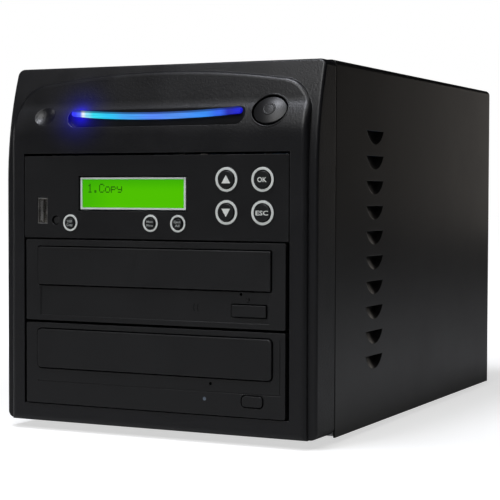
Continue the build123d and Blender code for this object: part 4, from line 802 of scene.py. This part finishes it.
def bladeShape(turn):
    # s runs out along the radius, t round the section: angle = turn + sweep s^2 + span t,
    # height falls along the chord with a cosine camber, and the two faces part by the thickness
    count = rotor["rows"]
    s = np.linspace(0, 1, count)[:, None]
    t = np.linspace(-0.5, 0.5, count)[None, :]
    chord = np.concatenate([t, t[:, ::-1]], 1) + 0 * s
    face = np.concatenate([np.ones((1, count)), -np.ones((1, count))], 1)
    inner = rotor["hub"] - rotor["root"]
    radius = inner + s * (rotor["tip"] - inner) + 0 * chord
    span = rotor["spanHub"] + (rotor["spanTip"] - rotor["spanHub"]) * s
    angle = np.radians(turn + rotor["sweep"] * s * s + span * chord)
    fall = (rotor["high"] - rotor["low"] - rotor["margin"]) * (rotor["pitchHub"] - rotor["pitchLoss"] * s)
    camber = rotor["camber"] * np.cos(np.pi * chord)
    edge = np.sqrt(np.clip(1 - (2 * chord) ** 2, rotor["edgeThin"], 1))
    middle = (rotor["high"] + rotor["low"]) / 2
    height = middle + 2 * fall * chord + camber + face * rotor["thick"] / 2 * edge
    points = np.stack([radius * np.cos(angle), radius * np.sin(angle), height], -1).reshape(-1, 3)
    columns = chord.shape[1]
    faces = gridFaces(len(s), columns, closeColumns=True).tolist()
    last = (len(s) - 1) * columns
    faces += [list(range(columns))[::-1], [last + k for k in range(columns)]]
    return points, faces


def hubShape():
    # outside holds (radius, height under the top); inside, a thin cup with a collar on its pin
    top, low, bore = rotor["high"], rotor["low"], rotor["bore"]
    outside = [(0.0, top + rotor["outside"][0][1])] + [(r, top + h) for r, h in rotor["outside"]]
    wall, roof = rotor["hub"] - rotor["skin"], top - rotor["roof"]
    inside = [(rotor["hub"], low), (wall, low), (wall, roof), (rotor["collar"], roof),
              (bore, top - rotor["collarDeep"]), (bore, low - rotor["pin"]), (0.0, low - rotor["pin"])]
    return turned(outside + inside, rotor["steps"])


def makeRotors():
    for name, fan in rotor["fans"].items():
        blades = [bladeShape(360 * k / rotor["blades"]) for k in range(rotor["blades"])]
        spot = (fan["middle"][0], fan["y"], fan["middle"][1])
        points, faces = aimed(joined([hubShape()] + blades), spot, towardsRear)
        piece = newPiece(name, points, faces, made["rockerPlastic"], fan["node"], crease=35)
        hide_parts(fan["node"])


makeRotors()
print("fan rotors done")


# printed marks on the rocker, and painted shade: two small darker arcs on the upper drive in place of its
# embossed marks

rocker = {"pivot": (52.0, 134.95, 160.9), "tilt": 9.0, "crest": 3.0, "end": (2.3, 7.6), "middle": 3.9,
          "lift": 0.04, "bar": (0.28, 1.7), "ring": (1.45, 0.5), "ringSteps": 33}
arcs = {"places": (27.2, 29.3), "z": 66.2, "front": -141.50, "radius": 3.4, "width": 0.55,
        "sweep": (148, 212), "steps": 9}


def rockerMark(flat, upper):
    # flat holds (across, along) of a sign; its plane is the rocker's upper or lower face
    fall = rocker["crest"] - rocker["end"][0]
    length = math.hypot(fall, rocker["end"][1])
    way = 1 if upper else -1
    tangent = np.array([0.0, -way * fall / length, rocker["end"][1] / length])
    normal = np.array([0.0, rocker["end"][1] / length, way * fall / length])
    start = np.array([0.0, rocker["crest"], 0.0]) + way * rocker["middle"] * tangent + rocker["lift"] * normal
    flat = np.asarray(flat, float)
    local = start + flat[:, :1] * np.array([[-1.0, 0.0, 0.0]]) + flat[:, 1:] * tangent
    tilt = math.radians(rocker["tilt"])
    turn = np.array([[1, 0, 0], [0, math.cos(tilt), -math.sin(tilt)], [0, math.sin(tilt), math.cos(tilt)]])
    return local @ turn.T + rocker["pivot"]


def arcBand(centre, radius, width, sweep, steps):
    # flat band along an arc, as two rows of points
    angle = np.radians(np.linspace(*sweep, steps))
    rows = [np.stack([centre[0] + q * np.cos(angle), centre[1] + q * np.sin(angle)], 1)
            for q in (radius - width / 2, radius + width / 2)]
    return np.concatenate(rows)


def makeMarks():
    u, v = rocker["bar"]
    steps = rocker["ringSteps"]
    line = rockerMark([(-u, -v), (u, -v), (u, v), (-u, v)], True)
    ring = rockerMark(arcBand((0, 0), *rocker["ring"], (0, 360), steps), False)
    for name, points, faces in (("rockerOn", line, [[0, 1, 2, 3]]),
                                ("rockerOff", ring, gridFaces(2, steps)[:, ::-1])):
        newPiece(name, points, faces, made["printWhite"], "rocker_switch", smooth=False)
    for k, x in enumerate(arcs["places"]):
        flat = arcBand((x, arcs["z"]), arcs["radius"], arcs["width"], arcs["sweep"], arcs["steps"])
        points = np.stack([flat[:, 0], np.full(len(flat), arcs["front"]), flat[:, 1]], 1)
        newPiece(f"drive1Arc{k}", points, gridFaces(2, arcs["steps"]), made["embossShadeMark"], "housing",
                 smooth=False)


makeMarks()
print("marks done")


# camera, from the photograph's own perspective

camera = {"place": (368.58, -796.08, 122.39), "azimuth": 25.654, "elevation": 2.182, "roll": 0.156,
          "lens": 109.49, "sensor": 36.0, "near": 0.05, "far": 50.0}


def makeCamera():
    az, el, roll = (math.radians(camera[k]) for k in ("azimuth", "elevation", "roll"))
    back = Vector((math.sin(az) * math.cos(el), -math.cos(az) * math.cos(el), math.sin(el)))
    right = (-back).cross(Vector((0, 0, 1))).normalized()
    up = right.cross(-back)
    rolledRight = math.cos(roll) * right + math.sin(roll) * up
    rolledUp = -math.sin(roll) * right + math.cos(roll) * up
    data = bpy.data.cameras.new("camera")
    data.lens, data.sensor_width, data.sensor_fit = camera["lens"], camera["sensor"], "HORIZONTAL"
    data.clip_start, data.clip_end = camera["near"], camera["far"]
    eye = bpy.data.objects.new("camera", data)
    turn = Matrix((rolledRight, rolledUp, back)).transposed().to_4x4()
    eye.matrix_world = Matrix.Translation(Vector(camera["place"]) * mm) @ turn
    bpy.context.scene.collection.objects.link(eye)
    bpy.context.scene.camera = eye


makeCamera()


# floor, world and lamps

studio = {"floorColour": (0.50, 0.50, 0.50), "floorRough": 0.9, "floorSpecular": 0.1, "reach": 6.0,
          "floorLift": 0.62, "fade": (0.16, 0.45), "foot": (87.6, 142.7), "footBand": (0.5, 0.75)}


def seenWhite(tree):
    # 1 for what the camera sees straight or through something clear, 0 for light on the object
    path = node(tree, "LightPath").outputs
    return maths(tree, "MAXIMUM", path["Is Camera Ray"], path["Is Transmission Ray"])


def makeFloor():
    reach = studio["reach"]
    mesh = bpy.data.meshes.new("floor")
    mesh.from_pydata([(-reach, -reach, 0), (reach, -reach, 0), (reach, reach, 0), (-reach, reach, 0)], [],
                     [[0, 1, 2, 3]])
    material, tree, shader = startMaterial("floorWhite")
    # the lift to white grows away from the tower, and it dies away under the tower's middle, where
    # the larger of |x| and |y| over its half sizes is small
    away = node(tree, "VectorMath", {0: objectPlace(tree)}, operation="LENGTH").outputs["Value"]
    lift = ranged(tree, away, studio["fade"], (studio["floorLift"], 1.0), smooth=True)
    axes = objectAxes(tree)
    across, along = (maths(tree, "ABSOLUTE", maths(tree, "DIVIDE", axes[axis], half * mm))
                     for axis, half in zip("XY", studio["foot"]))
    clear = ranged(tree, maths(tree, "MAXIMUM", across, along), studio["footBand"], (0.0, 1.0))
    feed(tree, shader.inputs, {
        "Base Color": studio["floorColour"], "Roughness": studio["floorRough"],
        "Specular IOR Level": studio["floorSpecular"], "Emission Color": (1.0, 1.0, 1.0),
        "Emission Strength": maths(tree, "MULTIPLY", seenWhite(tree), maths(tree, "MULTIPLY", clear, lift))})
    mesh.materials.append(material)
    floor = bpy.data.objects.new("floor", mesh)
    bpy.context.scene.collection.objects.link(floor)


def makeWorld():
    # white to the camera and dark to everything else, so that the lamps alone light the object
    world = bpy.data.worlds.new("studio")
    bpy.context.scene.world = world
    world.use_nodes = True
    tree = world.node_tree
    tree.nodes.clear()
    light = node(tree, "Background", {"Strength": seenWhite(tree)}, Color=(1, 1, 1, 1))
    node(tree, "OutputWorld", {"Surface": light.outputs["Background"]})


lampAim = (0, 0, 0.1)
lamps = {
    "brow": {"place": (-0.15, -0.45, 1.35), "size": (0.3, 0.3), "power": 10.0, "tint": (0.90, 0.92, 1.0)},
    "key": {"place": (0.70, -0.55, 1.35), "size": (0.4, 0.4), "power": 2.0},
    "frontTop": {"place": (0.0, -1.3, 1.2), "size": (0.8, 0.8), "power": 13.0},
    "left": {"place": (-1.3, -0.5, 0.35), "size": (0.4, 0.4), "power": 1.5},
    "rearCard": {"place": (0.22, 1.1, 0.22), "size": (0.25, 0.3), "power": 0.17, "tint": (1.0, 0.93, 0.86)},
}


def makeLamps():
    for name, lamp in lamps.items():
        data = bpy.data.lights.new(name, "AREA")
        data.shape, (data.size, data.size_y) = "RECTANGLE", lamp["size"]
        data.energy = lamp["power"]
        data.color = lamp.get("tint", (1, 1, 1))
        light = bpy.data.objects.new(name, data)
        spot = Vector(lamp["place"])
        turn = (spot - Vector(lampAim)).to_track_quat("Z", "Y").to_matrix().to_4x4()
        light.matrix_world = Matrix.Translation(spot) @ turn
        bpy.context.scene.collection.objects.link(light)


makeFloor()
makeWorld()
makeLamps()
bpy.context.scene.view_settings.view_transform = "Standard"
print("stage and lamps done")
